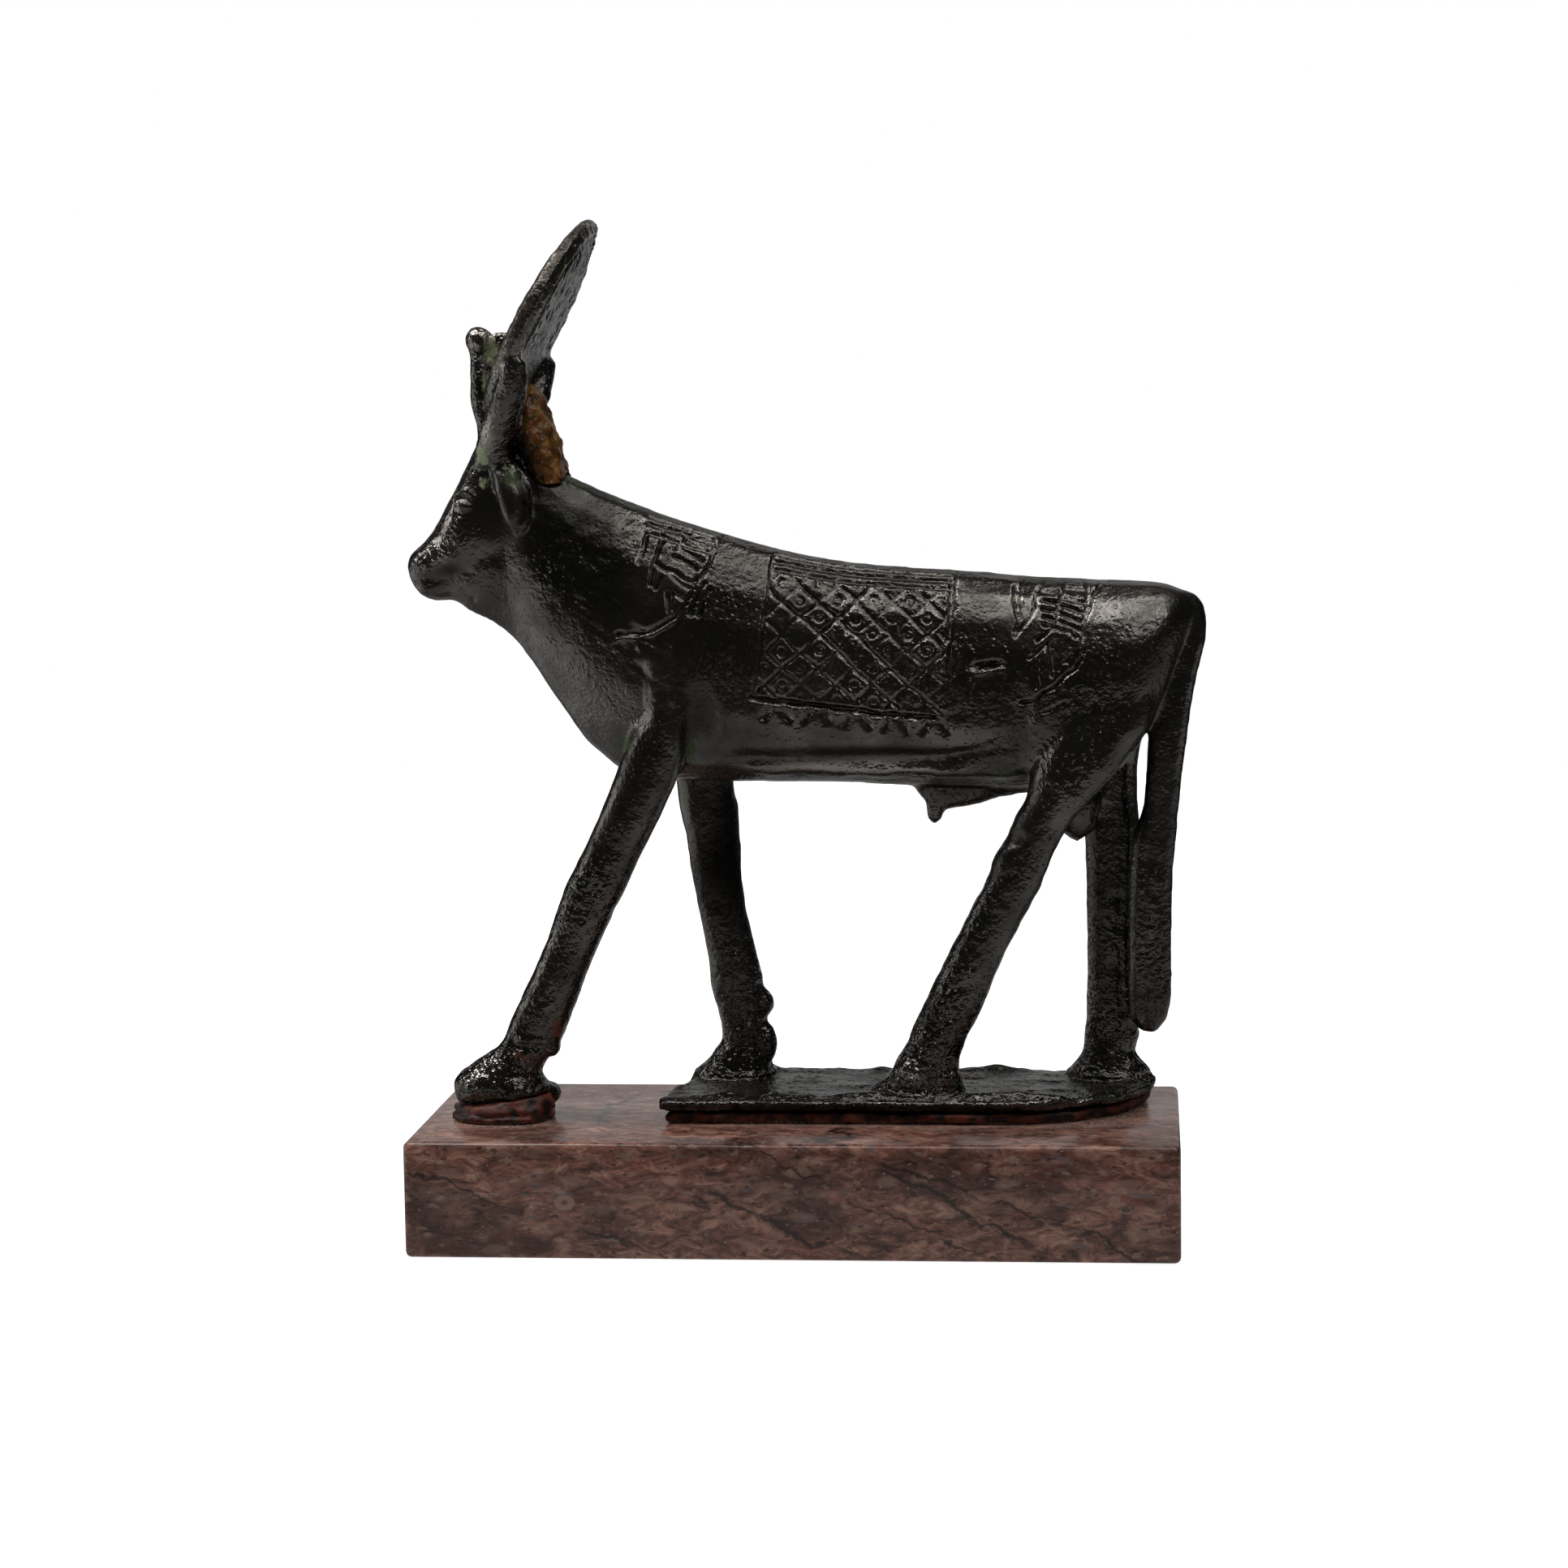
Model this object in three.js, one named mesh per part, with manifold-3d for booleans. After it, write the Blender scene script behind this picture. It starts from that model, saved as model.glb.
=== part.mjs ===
// A striding Apis bull, cast in bronze with its headdress and a thin ground plate,
// bedded on a block of polished limestone. Millimetres, +Z up, the bull faces -X
// and its near side faces -Y. The origin is the middle of the plinth's underside.
import * as THREE from "three";
import { mergeVertices } from "three/addons/utils/BufferGeometryUtils.js";
import Module from "manifold-3d";

// Driving dimensions
const BULL_LENGTH = 100;          // nose to tail
const PLINTH_HEIGHT = 14.45;
const PLINTH_END_MARGIN = 3.3;    // stone beyond the feet at each end
const PLINTH_FRONT_MARGIN = 11.8; // stone before the ground plate, on the near side
const PLINTH_BACK_MARGIN = 5.7;   // stone behind the ground plate
const PLINTH_BEVEL = 0.8;
const PLATE_THICKNESS = 1.7;
const PUTTY_THICKNESS = 1.4;      // bed between the ground plate and the stone
const DISC_DIAMETER = 27.1;
const DISC_FOOT_THICKNESS = 2.9;  // the sun disc is a wedge: thick at its foot,
const DISC_TIP_THICKNESS = 2.2;   // thin at its tip
const DISC_TILT = 28.8;           // degrees from the vertical, leaning back
const DISC_SINK = 0.2;            // depth of the disc's foot in the crown of the head
const DISC_FORWARD = 0.4;         // and its place before the crown
const BORDER_GROOVE = { depth: 0.4, width: 0.7, reach: 3 };
const FINE_GROOVE = { depth: 0.3, width: 0.5, reach: 3.4 };
const GAP = 0.3;                  // between two pieces that touch

// The figure's own measure: its shapes are in hundredths of the bull's length,
// x from the middle of its footprint, y from its middle plane, z from its soles.
const SHARE = BULL_LENGTH / 100;
const FOOTPRINT = { front: -44.4, back: 44.0, half: 10.5 };

const plinthLength = (FOOTPRINT.back - FOOTPRINT.front) * SHARE + 2 * PLINTH_END_MARGIN;
const plinthDepth = 2 * FOOTPRINT.half * SHARE + PLINTH_FRONT_MARGIN + PLINTH_BACK_MARGIN;
const soleHeight = PLINTH_HEIGHT + PUTTY_THICKNESS + PLATE_THICKNESS;
const figureX = (-(FOOTPRINT.front + FOOTPRINT.back) / 2) * SHARE;
const figureY = (PLINTH_FRONT_MARGIN - PLINTH_BACK_MARGIN) / 2;

const wasm = await Module();
wasm.setup();

// A closed geometry as a solid that can be joined and cut.
function solid(geometry) {
  geometry.deleteAttribute("normal");
  geometry.deleteAttribute("uv");
  const merged = mergeVertices(geometry, 1e-4);
  const vertProperties = new Float32Array(merged.attributes.position.array);
  const triVerts = new Uint32Array(merged.index.array);
  return new wasm.Manifold(new wasm.Mesh({ numProp: 3, vertProperties, triVerts }));
}

function geometryOf(manifold) {
  const mesh = manifold.getMesh();
  const geometry = new THREE.BufferGeometry();
  geometry.setAttribute("position", new THREE.BufferAttribute(mesh.vertProperties, 3));
  geometry.setIndex(new THREE.BufferAttribute(mesh.triVerts, 1));
  geometry.computeVertexNormals();
  return geometry;
}

const join = (solids) => solids.reduce((sum, next) => sum.add(next));
const cut = (body, tools) => tools.reduce((rest, tool) => rest.subtract(tool), body);

function signedVolume(points, faces) {
  const cross = new THREE.Vector3();
  const volumeOf = ([a, b, c]) => points[a].dot(cross.crossVectors(points[b], points[c])) / 6;
  return faces.reduce((sum, face) => sum + volumeOf(face), 0);
}

// The skin over a row of closed sections with equal numbers of points,
// closed at each end by a fan about the section's middle.
function loft(rings) {
  const sides = rings[0].length;
  const points = rings.flat();
  const faces = [];
  for (let r = 0; r + 1 < rings.length; r += 1) {
    for (let k = 0; k < sides; k += 1) {
      const a = r * sides + k;
      const b = r * sides + ((k + 1) % sides);
      faces.push([a, b, b + sides], [a, b + sides, a + sides]);
    }
  }
  for (const end of [0, rings.length - 1]) {
    const middle = rings[end].reduce((sum, p) => sum.add(p), new THREE.Vector3());
    const hub = points.push(middle.divideScalar(sides)) - 1;
    for (let k = 0; k < sides; k += 1) {
      const a = end * sides + k;
      const b = end * sides + ((k + 1) % sides);
      faces.push(end === 0 ? [hub, b, a] : [hub, a, b]);
    }
  }
  const outward = signedVolume(points, faces) > 0;
  const geometry = new THREE.BufferGeometry().setFromPoints(points);
  geometry.setIndex(faces.flatMap(([a, b, c]) => (outward ? [a, b, c] : [a, c, b])));
  return solid(geometry);
}

// Rows of numbers along a smooth curve through the given stations. Stations that
// stand further apart than `reach` get rows between them.
function smoothRows(stations, reach) {
  const at = (i) => stations[THREE.MathUtils.clamp(i, 0, stations.length - 1)];
  const between = (i, t) => at(i).map((b, column) => {
    const a = at(i - 1)[column];
    const c = at(i + 1)[column];
    const d = at(i + 2)[column];
    const bend = 2 * a - 5 * b + 4 * c - d + t * (3 * (b - c) + d - a);
    return b + 0.5 * t * (c - a + t * bend);
  });
  const rows = [];
  for (let i = 0; i + 1 < stations.length; i += 1) {
    const steps = Math.ceil(Math.abs(at(i + 1)[0] - at(i)[0]) / reach) || 1;
    for (let s = 0; s < steps; s += 1) {
      rows.push(between(i, s / steps));
    }
  }
  return [...rows, stations.at(-1)];
}

const power = (value, exponent) => Math.sign(value) * Math.abs(value) ** exponent;

// The trunk: head, neck and body in one row of upright sections, each standing
// between a top and a bottom point of the middle plane.
// Columns: top x, top z, bottom x, bottom z, half width, height of the widest
// place as a share from the bottom, fullness of the lower half (1 is a keel).
const TRUNK = [
  [-49.3, 66.9, -49.1, 65.0, 1.1, 0.5, 2.0],
  [-48.8, 68.1, -48.3, 63.6, 2.4, 0.5, 2.2],
  [-47.5, 69.2, -47.3, 62.7, 3.1, 0.5, 2.2],
  [-46.2, 70.6, -46.0, 62.1, 3.4, 0.55, 2.0],
  [-45.0, 72.4, -44.5, 62.2, 3.6, 0.6, 1.8],
  [-43.9, 74.5, -43.2, 61.9, 4.2, 0.66, 1.6],
  [-42.7, 76.6, -41.5, 60.6, 4.8, 0.7, 1.5],
  [-41.3, 79.4, -39.7, 59.8, 4.9, 0.68, 1.5],
  [-39.8, 82.4, -37.6, 58.5, 4.7, 0.62, 1.5],
  [-37.6, 85.6, -35.5, 56.6, 4.6, 0.58, 1.6],
  [-34.6, 82.2, -33.4, 53.7, 5.0, 0.54, 1.7],
  [-31.6, 79.0, -31.3, 50.4, 5.7, 0.52, 1.8],
  [-28.4, 77.4, -29.2, 47.5, 6.4, 0.52, 1.9],
  [-25.0, 75.8, -26.9, 44.0, 7.2, 0.52, 1.9],
  [-21.8, 74.5, -23.4, 41.0, 7.9, 0.52, 2.0],
  [-18.4, 73.15, -19.0, 39.3, 8.4, 0.5, 2.1],
  [-14.3, 71.65, -14.3, 39.0, 8.6, 0.48, 2.3],
  [-8.2, 69.75, -8.2, 38.9, 8.5, 0.48, 2.4],
  [-2.1, 68.05, -2.1, 38.9, 8.4, 0.48, 2.4],
  [6.0, 66.4, 6.0, 38.8, 8.4, 0.48, 2.4],
  [14.1, 65.6, 14.1, 38.4, 8.5, 0.48, 2.4],
  [22.0, 65.0, 22.0, 38.0, 8.5, 0.48, 2.3],
  [30.0, 64.3, 29.6, 37.9, 8.7, 0.5, 2.2],
  [36.8, 63.9, 35.6, 38.2, 8.9, 0.52, 2.0],
  [42.4, 63.7, 40.2, 40.4, 8.5, 0.54, 1.9],
  [45.8, 63.3, 43.0, 44.4, 7.3, 0.56, 1.9],
  [47.7, 62.6, 45.4, 49.2, 5.4, 0.58, 1.9],
  [49.0, 61.2, 47.2, 54.2, 3.2, 0.6, 1.9],
  [49.3, 59.5, 48.4, 57.0, 1.2, 0.5, 2.0],
];
const TRUNK_SIDES = 20;
const TRUNK_REACH = 3.3;
const BACK_FULLNESS = 2.15;

// One section of the trunk, grown outward by `grow` millimetres.
function trunkRing([topX, topZ, bottomX, bottomZ, half, widest, keel], grow) {
  const top = new THREE.Vector3(topX, 0, topZ);
  const bottom = new THREE.Vector3(bottomX, 0, bottomZ);
  const centre = bottom.clone().lerp(top, widest);
  return Array.from({ length: TRUNK_SIDES }, (_, k) => {
    const angle = (2 * Math.PI * k) / TRUNK_SIDES;
    const upper = Math.cos(angle) >= 0;
    const exponent = 2 / (upper ? BACK_FULLNESS : keel);
    const offset = (upper ? top : bottom).clone().sub(centre);
    offset.multiplyScalar(Math.abs(Math.cos(angle)) ** exponent);
    offset.y = half * power(Math.sin(angle), exponent);
    offset.multiplyScalar(SHARE).setLength(offset.length() + grow);
    return offset.addScaledVector(centre, SHARE);
  });
}

const trunkRows = smoothRows(TRUNK, TRUNK_REACH);
const trunk = (grow = 0) => loft(trunkRows.map((row) => trunkRing(row, grow)));

// Legs, tail, horns, ears and cobra: rows of level oval sections.
// Columns: x, y, z, half size along x, half size along y.
const OVAL_FULLNESS = 2.3;

function levelRing([x, y, z, alongX, alongY], sides, grow = 0) {
  return Array.from({ length: sides }, (_, k) => {
    const angle = (2 * Math.PI * k) / sides;
    return new THREE.Vector3(
      x * SHARE + (alongX * SHARE + grow) * power(Math.cos(angle), 2 / OVAL_FULLNESS),
      y * SHARE + (alongY * SHARE + grow) * power(Math.sin(angle), 2 / OVAL_FULLNESS),
      z * SHARE,
    );
  });
}

function member(stations, sides = 12, grow = 0) {
  return loft(stations.map((row) => levelRing(row, sides, grow)));
}

// A rounded lump: an ellipsoid given by its middle and its half sizes.
function lump([x, y, z], [alongX, alongY, alongZ], grow = 0) {
  const ball = new THREE.SphereGeometry(1, 8, 6);
  ball.scale(alongX * SHARE + grow, alongY * SHARE + grow, alongZ * SHARE + grow);
  ball.translate(x * SHARE, y * SHARE, z * SHARE);
  return solid(ball);
}

const NEAR = -6.2;        // middle of the near legs
const FAR = 6.2;          // middle of the far legs
const IN_PLATE = -0.8;    // depth to which feet run into the ground plate

// The advanced near forefoot stands beyond the plate, on a sloping sole.
const FOREFOOT = { x: -37.6, y: NEAR, alongX: 6.1, alongY: 4.4 };
const FOREFOOT_HEEL = { at: [-32.9, NEAR + 1.4, -0.3], size: [2.4, 2.6, 1.7] };
const soleSlope = (x) => -1.2 + 0.13 * (x - FOOTPRINT.front);

// The forefoot's oval laid on its sloping sole and lifted by `lift` millimetres.
function soleRing(sides, spread, lift) {
  const { x, y, alongX, alongY } = FOREFOOT;
  const ring = levelRing([x, y, 0, alongX * spread, alongY * spread], sides);
  ring.forEach((p) => { p.z = soleSlope(p.x / SHARE) * SHARE + lift; });
  return ring;
}

function nearForeleg() {
  const sides = 14;
  const stations = [
    [-13.0, -5.0, 53.0, 3.4, 2.6],
    [-15.2, -5.7, 48.5, 4.0, 3.1],
    [-17.9, -6.1, 42.6, 3.9, 3.2],
    [-19.4, NEAR, 38.6, 3.95, 3.1],
    [-21.35, NEAR, 34.5, 3.75, 3.0],
    [-23.4, NEAR, 30.4, 3.7, 2.9],
    [-25.5, NEAR, 26.3, 3.75, 2.9],
    [-27.25, NEAR, 22.2, 3.55, 2.8],
    [-28.95, NEAR, 18.1, 3.25, 2.7],
    [-31.05, NEAR, 13.6, 3.45, 2.8],
    [-32.6, NEAR, 10.0, 3.6, 3.0],
    [-33.8, NEAR, 7.0, 3.65, 3.0],
    [-35.0, NEAR, 5.4, 4.0, 3.0],
    [-36.8, NEAR, 4.1, 4.4, 3.2],
    [-37.9, NEAR, 2.9, 5.0, 3.7],
    [-38.1, NEAR, 1.7, 5.8, 4.2],
  ];
  const rings = stations.map((row) => levelRing(row, sides));
  return loft([...rings, soleRing(sides, 1, GAP / 2)]);
}

function farForeleg() {
  const leg = member([
    [-13.2, 4.6, 46.0, 3.8, 2.8],
    [-13.1, 5.8, 41.0, 3.7, 3.0],
    [-12.8, FAR, 37.2, 3.6, 3.0],
    [-12.35, FAR, 34.2, 3.65, 3.0],
    [-11.9, FAR, 30.0, 3.35, 2.9],
    [-11.6, FAR, 26.0, 3.1, 2.8],
    [-10.85, FAR, 21.0, 3.0, 2.7],
    [-9.8, FAR, 16.1, 3.1, 2.7],
    [-9.2, FAR, 12.6, 3.3, 2.8],
    [-8.85, FAR, 9.8, 3.2, 2.8],
    [-8.4, FAR, 7.0, 2.95, 2.7],
    [-8.3, FAR, 4.4, 2.9, 2.8],
    [-8.9, FAR, 2.5, 3.7, 3.2],
    [-9.5, FAR, 1.2, 4.8, 3.8],
    [-9.8, FAR, IN_PLATE, 5.6, 4.2],
  ]);
  const upperDewclaw = lump([-5.8, FAR, 9.6], [1.2, 1.6, 1.8]);
  const lowerDewclaw = lump([-5.4, FAR - 0.6, 4.4], [1.2, 1.5, 2.6]);
  return join([leg, upperDewclaw, lowerDewclaw]);
}

function nearHindLeg() {
  return member([
    [38.6, -3.6, 52.0, 6.6, 4.4],
    [37.3, -5.0, 46.0, 6.3, 3.9],
    [34.7, -5.8, 41.2, 5.4, 3.4],
    [32.5, NEAR, 37.4, 3.9, 3.1],
    [30.5, NEAR, 34.3, 3.5, 3.0],
    [28.85, NEAR, 31.1, 3.3, 2.9],
    [26.65, NEAR, 26.3, 3.55, 2.9],
    [24.5, NEAR, 22.2, 3.5, 2.8],
    [22.4, NEAR, 18.1, 3.45, 2.8],
    [20.55, NEAR, 14.0, 3.5, 2.8],
    [18.65, NEAR, 9.9, 3.65, 2.9],
    [17.2, NEAR, 6.8, 3.55, 2.9],
    [16.15, NEAR, 4.8, 3.8, 3.0],
    [15.6, NEAR, 2.9, 4.3, 3.2],
    [14.8, NEAR + 0.3, 1.2, 5.6, 3.6],
    [14.4, NEAR + 0.5, IN_PLATE, 7.2, 4.0],
  ]);
}

function farHindLeg() {
  const leg = member([
    [38.4, 3.6, 52.0, 5.6, 4.4],
    [38.2, 5.0, 46.0, 5.0, 3.9],
    [38.4, 6.0, 40.5, 3.8, 3.3],
    [38.75, FAR, 33.5, 3.35, 3.0],
    [38.8, FAR, 26.0, 3.05, 2.9],
    [38.8, FAR, 18.0, 2.95, 2.8],
    [38.8, FAR, 11.0, 2.95, 2.8],
    [38.85, FAR, 7.4, 3.3, 2.9],
    [38.85, FAR, 5.2, 3.45, 2.9],
    [38.4, FAR, 3.3, 3.4, 3.0],
    [38.5, FAR, 2.0, 4.3, 3.3],
    [38.4, FAR, 0.8, 5.3, 3.8],
    [38.2, FAR, IN_PLATE, 5.7, 4.1],
  ]);
  return leg.add(lump([40.6, FAR - 0.6, -0.2], [3.5, 3.8, 1.15]));
}

function tail() {
  return member([
    [47.0, 0, 62.2, 2.2, 1.6],
    [48.2, 0, 60.6, 2.3, 1.7],
    [48.6, 0, 58.4, 2.2, 1.8],
    [48.7, 0, 56.1, 1.95, 1.8],
    [47.8, 0, 52.0, 1.8, 1.7],
    [46.6, 0, 48.0, 2.25, 1.7],
    [45.95, 0.2, 43.9, 2.3, 1.8],
    [45.6, 0.3, 40.0, 2.1, 1.8],
    [45.25, 0.6, 35.9, 2.15, 1.9],
    [44.8, 0.8, 32.0, 2.2, 1.9],
    [44.3, 0.8, 27.7, 2.2, 1.9],
    [44.1, 0.8, 20.0, 2.25, 1.9],
    [44.1, 0.8, 14.0, 2.35, 1.9],
    [44.0, 0.8, 10.6, 2.15, 1.8],
    [43.9, 0.8, 8.4, 1.75, 1.5],
    [43.7, 0.8, 7.0, 0.75, 0.8],
  ]);
}

// A low wedge hanging under the belly that ends in a small hooked tip.
function sheath() {
  const wedge = [
    [14.2, 40.0, 14.2, 38.3, 0.9, 0.5, 2],
    [15.8, 40.0, 15.8, 36.3, 1.2, 0.5, 2],
    [17.6, 40.0, 17.6, 35.2, 1.35, 0.5, 2],
    [20.0, 40.0, 20.0, 35.4, 1.5, 0.5, 2],
    [24.0, 40.0, 24.0, 36.5, 1.6, 0.5, 2],
    [29.5, 40.0, 29.5, 37.5, 1.4, 0.5, 2],
    [32.0, 40.0, 32.0, 38.4, 0.9, 0.5, 2],
  ];
  const tip = member([
    [17.3, 0, 37.0, 1.5, 1.1],
    [17.1, 0, 35.4, 1.25, 1.0],
    [16.9, 0, 34.2, 0.8, 0.8],
    [16.8, 0, 33.4, 0.35, 0.4],
  ], 8);
  return loft(wedge.map((row) => trunkRing(row, 0))).add(tip);
}

// The rounded bag between the thighs.
const scrotum = () => lump([34.6, 1.2, 36.0], [3.2, 2.9, 5.0]);

// Headdress

// The sun disc is turned about its own axis, then thinned towards its tip. Its foot
// is sunk in the crown of the head, the highest point of the trunk's row.
function disc(grow = 0) {
  const radius = (DISC_DIAMETER / 2) + grow;
  const half = (DISC_FOOT_THICKNESS + DISC_TIP_THICKNESS) / 4 + grow;
  const taper = (DISC_TIP_THICKNESS - DISC_FOOT_THICKNESS) / 4 / radius;
  const profile = [[0, -1], [0.93, -0.94], [0.985, -0.62], [1, 0], [0.985, 0.62], [0.93, 0.94], [0, 1]];
  const points = profile.map(([r, h]) => new THREE.Vector2(r * radius, h * half));
  const wheel = new THREE.LatheGeometry(points, 36);
  const position = wheel.attributes.position;
  for (let i = 0; i < position.count; i += 1) {
    const thickness = 1 + (taper * position.getZ(i)) / half;
    position.setY(i, position.getY(i) * thickness);
  }
  const tilt = THREE.MathUtils.degToRad(DISC_TILT);
  const across = new THREE.Vector3(0, -1, 0);
  const back = new THREE.Vector3(Math.cos(tilt), 0, -Math.sin(tilt));
  const up = new THREE.Vector3(Math.sin(tilt), 0, Math.cos(tilt));
  wheel.applyMatrix4(new THREE.Matrix4().makeBasis(across, back, up));
  const [crownX, crownZ] = TRUNK.reduce((best, row) => (row[1] > best[1] ? row : best));
  const centre = up.clone().multiplyScalar(DISC_DIAMETER / 2 - DISC_SINK);
  wheel.translate(crownX * SHARE - DISC_FORWARD + centre.x, 0, crownZ * SHARE + centre.z);
  return solid(wheel);
}

// Both horns are broken off short where they clasp the lower rim of the disc.
function hornStump(side, grow = 0) {
  return member([
    [-37.8, side * 2.6, 79.0, 2.5, 2.3],
    [-37.2, side * 4.8, 81.6, 2.3, 2.2],
    [-36.0, side * 7.0, 84.3, 2.3, 2.1],
    [-34.7, side * 8.9, 87.0, 2.15, 2.0],
    [-33.8, side * 10.3, 89.6, 1.75, 1.8],
    [-33.45, side * 11.1, 91.6, 1.5, 1.6],
    [-33.4, side * 11.3, 92.2, 1.1, 1.2],
  ], 10, grow);
}

// The cobra before the disc, with the web of metal that ties it to the disc.
function cobra() {
  const body = member([
    [-38.9, 0, 81.5, 1.2, 1.2],
    [-39.1, 0, 84.2, 1.15, 1.3],
    [-39.4, 0, 86.6, 1.4, 1.8],
    [-39.5, 0, 89.0, 1.45, 2.0],
    [-39.6, 0, 91.2, 1.25, 1.7],
    [-39.8, 0, 93.0, 1.0, 1.1],
    [-39.7, 0, 94.6, 0.7, 0.7],
  ], 10);
  const head = lump([-39.65, 0, 94.65], [1.6, 1.6, 1.6]);
  const web = member([
    [-38.0, 0, 83.0, 2.0, 1.2],
    [-37.6, 0, 87.0, 1.8, 0.9],
    [-36.9, 0, 91.0, 2.1, 0.8],
    [-36.3, 0, 94.2, 2.4, 0.7],
    [-36.0, 0, 95.5, 2.0, 0.5],
  ], 8);
  return join([body, head, web]);
}

// Leaf-shaped ears hanging beside the neck.
function ear(side) {
  return member([
    [-36.0, side * 3.6, 79.4, 1.5, 1.0],
    [-35.6, side * 4.8, 78.2, 2.1, 1.3],
    [-34.8, side * 5.7, 76.0, 2.4, 1.3],
    [-34.3, side * 6.1, 73.6, 2.0, 1.1],
    [-34.2, side * 6.2, 71.6, 1.2, 0.8],
    [-34.3, side * 6.2, 70.4, 0.4, 0.4],
  ], 8);
}

const eye = (side) => lump([-42.0, side * 4.25, 74.4], [0.95, 0.55, 0.5]);

// Engraving on both flanks, in side view.
// Border of the saddle cloth: its front edge from the spine down, its foot and its
// rear edge.
const CLOTH_BORDER = [
  [[-2.7, 67.2], [-3.1, 64.0], [-3.7, 59.1], [-4.4, 54.1], [-4.9, 50.0]],
  [[-4.9, 50.4], [1.0, 49.5], [8.5, 48.5], [13.5, 47.8], [20.4, 47.4]],
  [[20.4, 47.4], [20.1, 52.9], [19.8, 56.5], [20.2, 60.9], [20.6, 64.4]],
];
// Vulture's wing on the shoulder: its lower edge, its rear edge and three feathers.
const WING = [
  [[-21.8, 57.7], [-18.9, 57.9], [-15.1, 59.3], [-12.9, 61.2], [-11.2, 64.0]],
  [[-9.4, 69.2], [-10.2, 66.9], [-11.3, 64.6]],
  [[-15.9, 65.9], [-12.6, 64.4]],
  [[-14.9, 67.4], [-11.9, 65.9]],
  [[-14.1, 68.6], [-11.3, 67.2]],
];
// Winged beetle on the rump: two uprights and the curve below them.
const RUMP_WING = [
  [[28.3, 63.4], [28.0, 60.7], [27.2, 58.1]],
  [[36.6, 62.6], [36.1, 59.4], [35.6, 55.4]],
  [[27.9, 49.3], [31.7, 50.9], [33.6, 52.7], [35.4, 54.6]],
];

// Half width of the faceted trunk at a place of its side view, where its sections
// stand nearly upright.
function flankHalf(x, z) {
  const next = trunkRows.findIndex((row) => row[0] > x);
  const [before, after] = [trunkRows[next - 1], trunkRows[next]];
  const along = (x - before[0]) / (after[0] - before[0]);
  const row = after.map((value, i) => THREE.MathUtils.lerp(before[i], value, along));
  const section = trunkRing(row, 0);
  const k = section.findIndex((p) => p.z < z * SHARE);
  const rise = (z * SHARE - section[k].z) / (section[k - 1].z - section[k].z);
  return THREE.MathUtils.lerp(section[k].y, section[k - 1].y, rise) / SHARE;
}

// A sharp-bottomed groove along a line of the side view, cut into the flank.
function groove(line, side, { depth, width, reach }) {
  const path = new THREE.CatmullRomCurve3(line.map(([x, z]) => new THREE.Vector3(x, 0, z)));
  const onFlank = (p) => new THREE.Vector3(p.x, side * flankHalf(p.x, p.z), p.z).multiplyScalar(SHARE);
  const steps = Math.ceil(path.getLength() / reach);
  const rings = [];
  for (let i = 0; i <= steps; i += 1) {
    const place = path.getPointAt(i / steps);
    const centre = onFlank(place);
    const above = onFlank(place.clone().add(new THREE.Vector3(0, 0, 0.2)));
    const slope = above.sub(centre).normalize();
    const outward = new THREE.Vector3(0, side * slope.z, -side * slope.y).normalize();
    const across = path.getTangentAt(i / steps).cross(outward).setLength(width);
    const lifted = centre.clone().addScaledVector(outward, depth);
    rings.push([
      centre.addScaledVector(outward, -depth),
      lifted.clone().add(across),
      lifted.clone().sub(across),
    ]);
  }
  return loft(rings);
}

function engraving() {
  return [-1, 1].flatMap((side) => [
    ...CLOTH_BORDER.map((line) => groove(line, side, BORDER_GROOVE)),
    ...[...WING, ...RUMP_WING].map((line) => groove(line, side, FINE_GROOVE)),
  ]);
}

const stoneTop = PLINTH_HEIGHT - soleHeight;       // seen from the soles
const puttyTop = stoneTop + PUTTY_THICKNESS;
const PUTTY_INSET = 0.4;
const EDGE_ROUNDING = 0.45;                        // of the ground plate
const BED_BULGE = { along: 1.07, across: 1.33 };   // of the putty beyond the forefoot
const BED_FOOT = { along: 1.04, across: 1.3 };
const BED_BULGE_HEIGHT = 0.5;

// Ground plate, broken off raggedly at its front end and rounded at its back end.
function plateOutline() {
  const { back, half } = FOOTPRINT;
  const outline = new THREE.Shape();
  outline.moveTo(-17.2, -half);
  outline.lineTo(26, -half);
  outline.bezierCurveTo(34, -half, back - 1, -4, back, 6);
  outline.quadraticCurveTo(back, half, 38, half);
  outline.lineTo(-12.6, half);
  outline.lineTo(-14.6, 6.2);
  outline.lineTo(-15.4, 0.6);
  outline.lineTo(-16.9, -3.4);
  outline.lineTo(-16.6, -6.6);
  return outline.getPoints(7).map((p) => p.multiplyScalar(SHARE));
}

// A slab of the plate's outline between two heights, with rounded edges, `inset` smaller.
function plateSlab(from, to, inset) {
  const rounding = Math.min(EDGE_ROUNDING, (to - from) / 3);
  const slab = new THREE.ExtrudeGeometry(new THREE.Shape(plateOutline()), {
    depth: to - from - 2 * rounding,
    bevelThickness: rounding,
    bevelSize: rounding,
    bevelOffset: -rounding - inset,
    bevelSegments: 2,
  });
  slab.translate(0, 0, from + rounding);
  return solid(slab);
}

function bronzeBull() {
  const body = join([
    trunk(),
    nearForeleg(),
    farForeleg(),
    nearHindLeg(),
    farHindLeg(),
    tail(),
    sheath(),
    scrotum(),
    disc(),
    hornStump(-1),
    hornStump(1),
    cobra(),
    ear(-1),
    ear(1),
    eye(-1),
    eye(1),
    plateSlab(puttyTop + GAP, 0, 0),
    lump(FOREFOOT_HEEL.at, FOREFOOT_HEEL.size),
  ]);
  return cut(body, engraving());
}

const plateBed = () => plateSlab(stoneTop + GAP, puttyTop, PUTTY_INSET);

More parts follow.
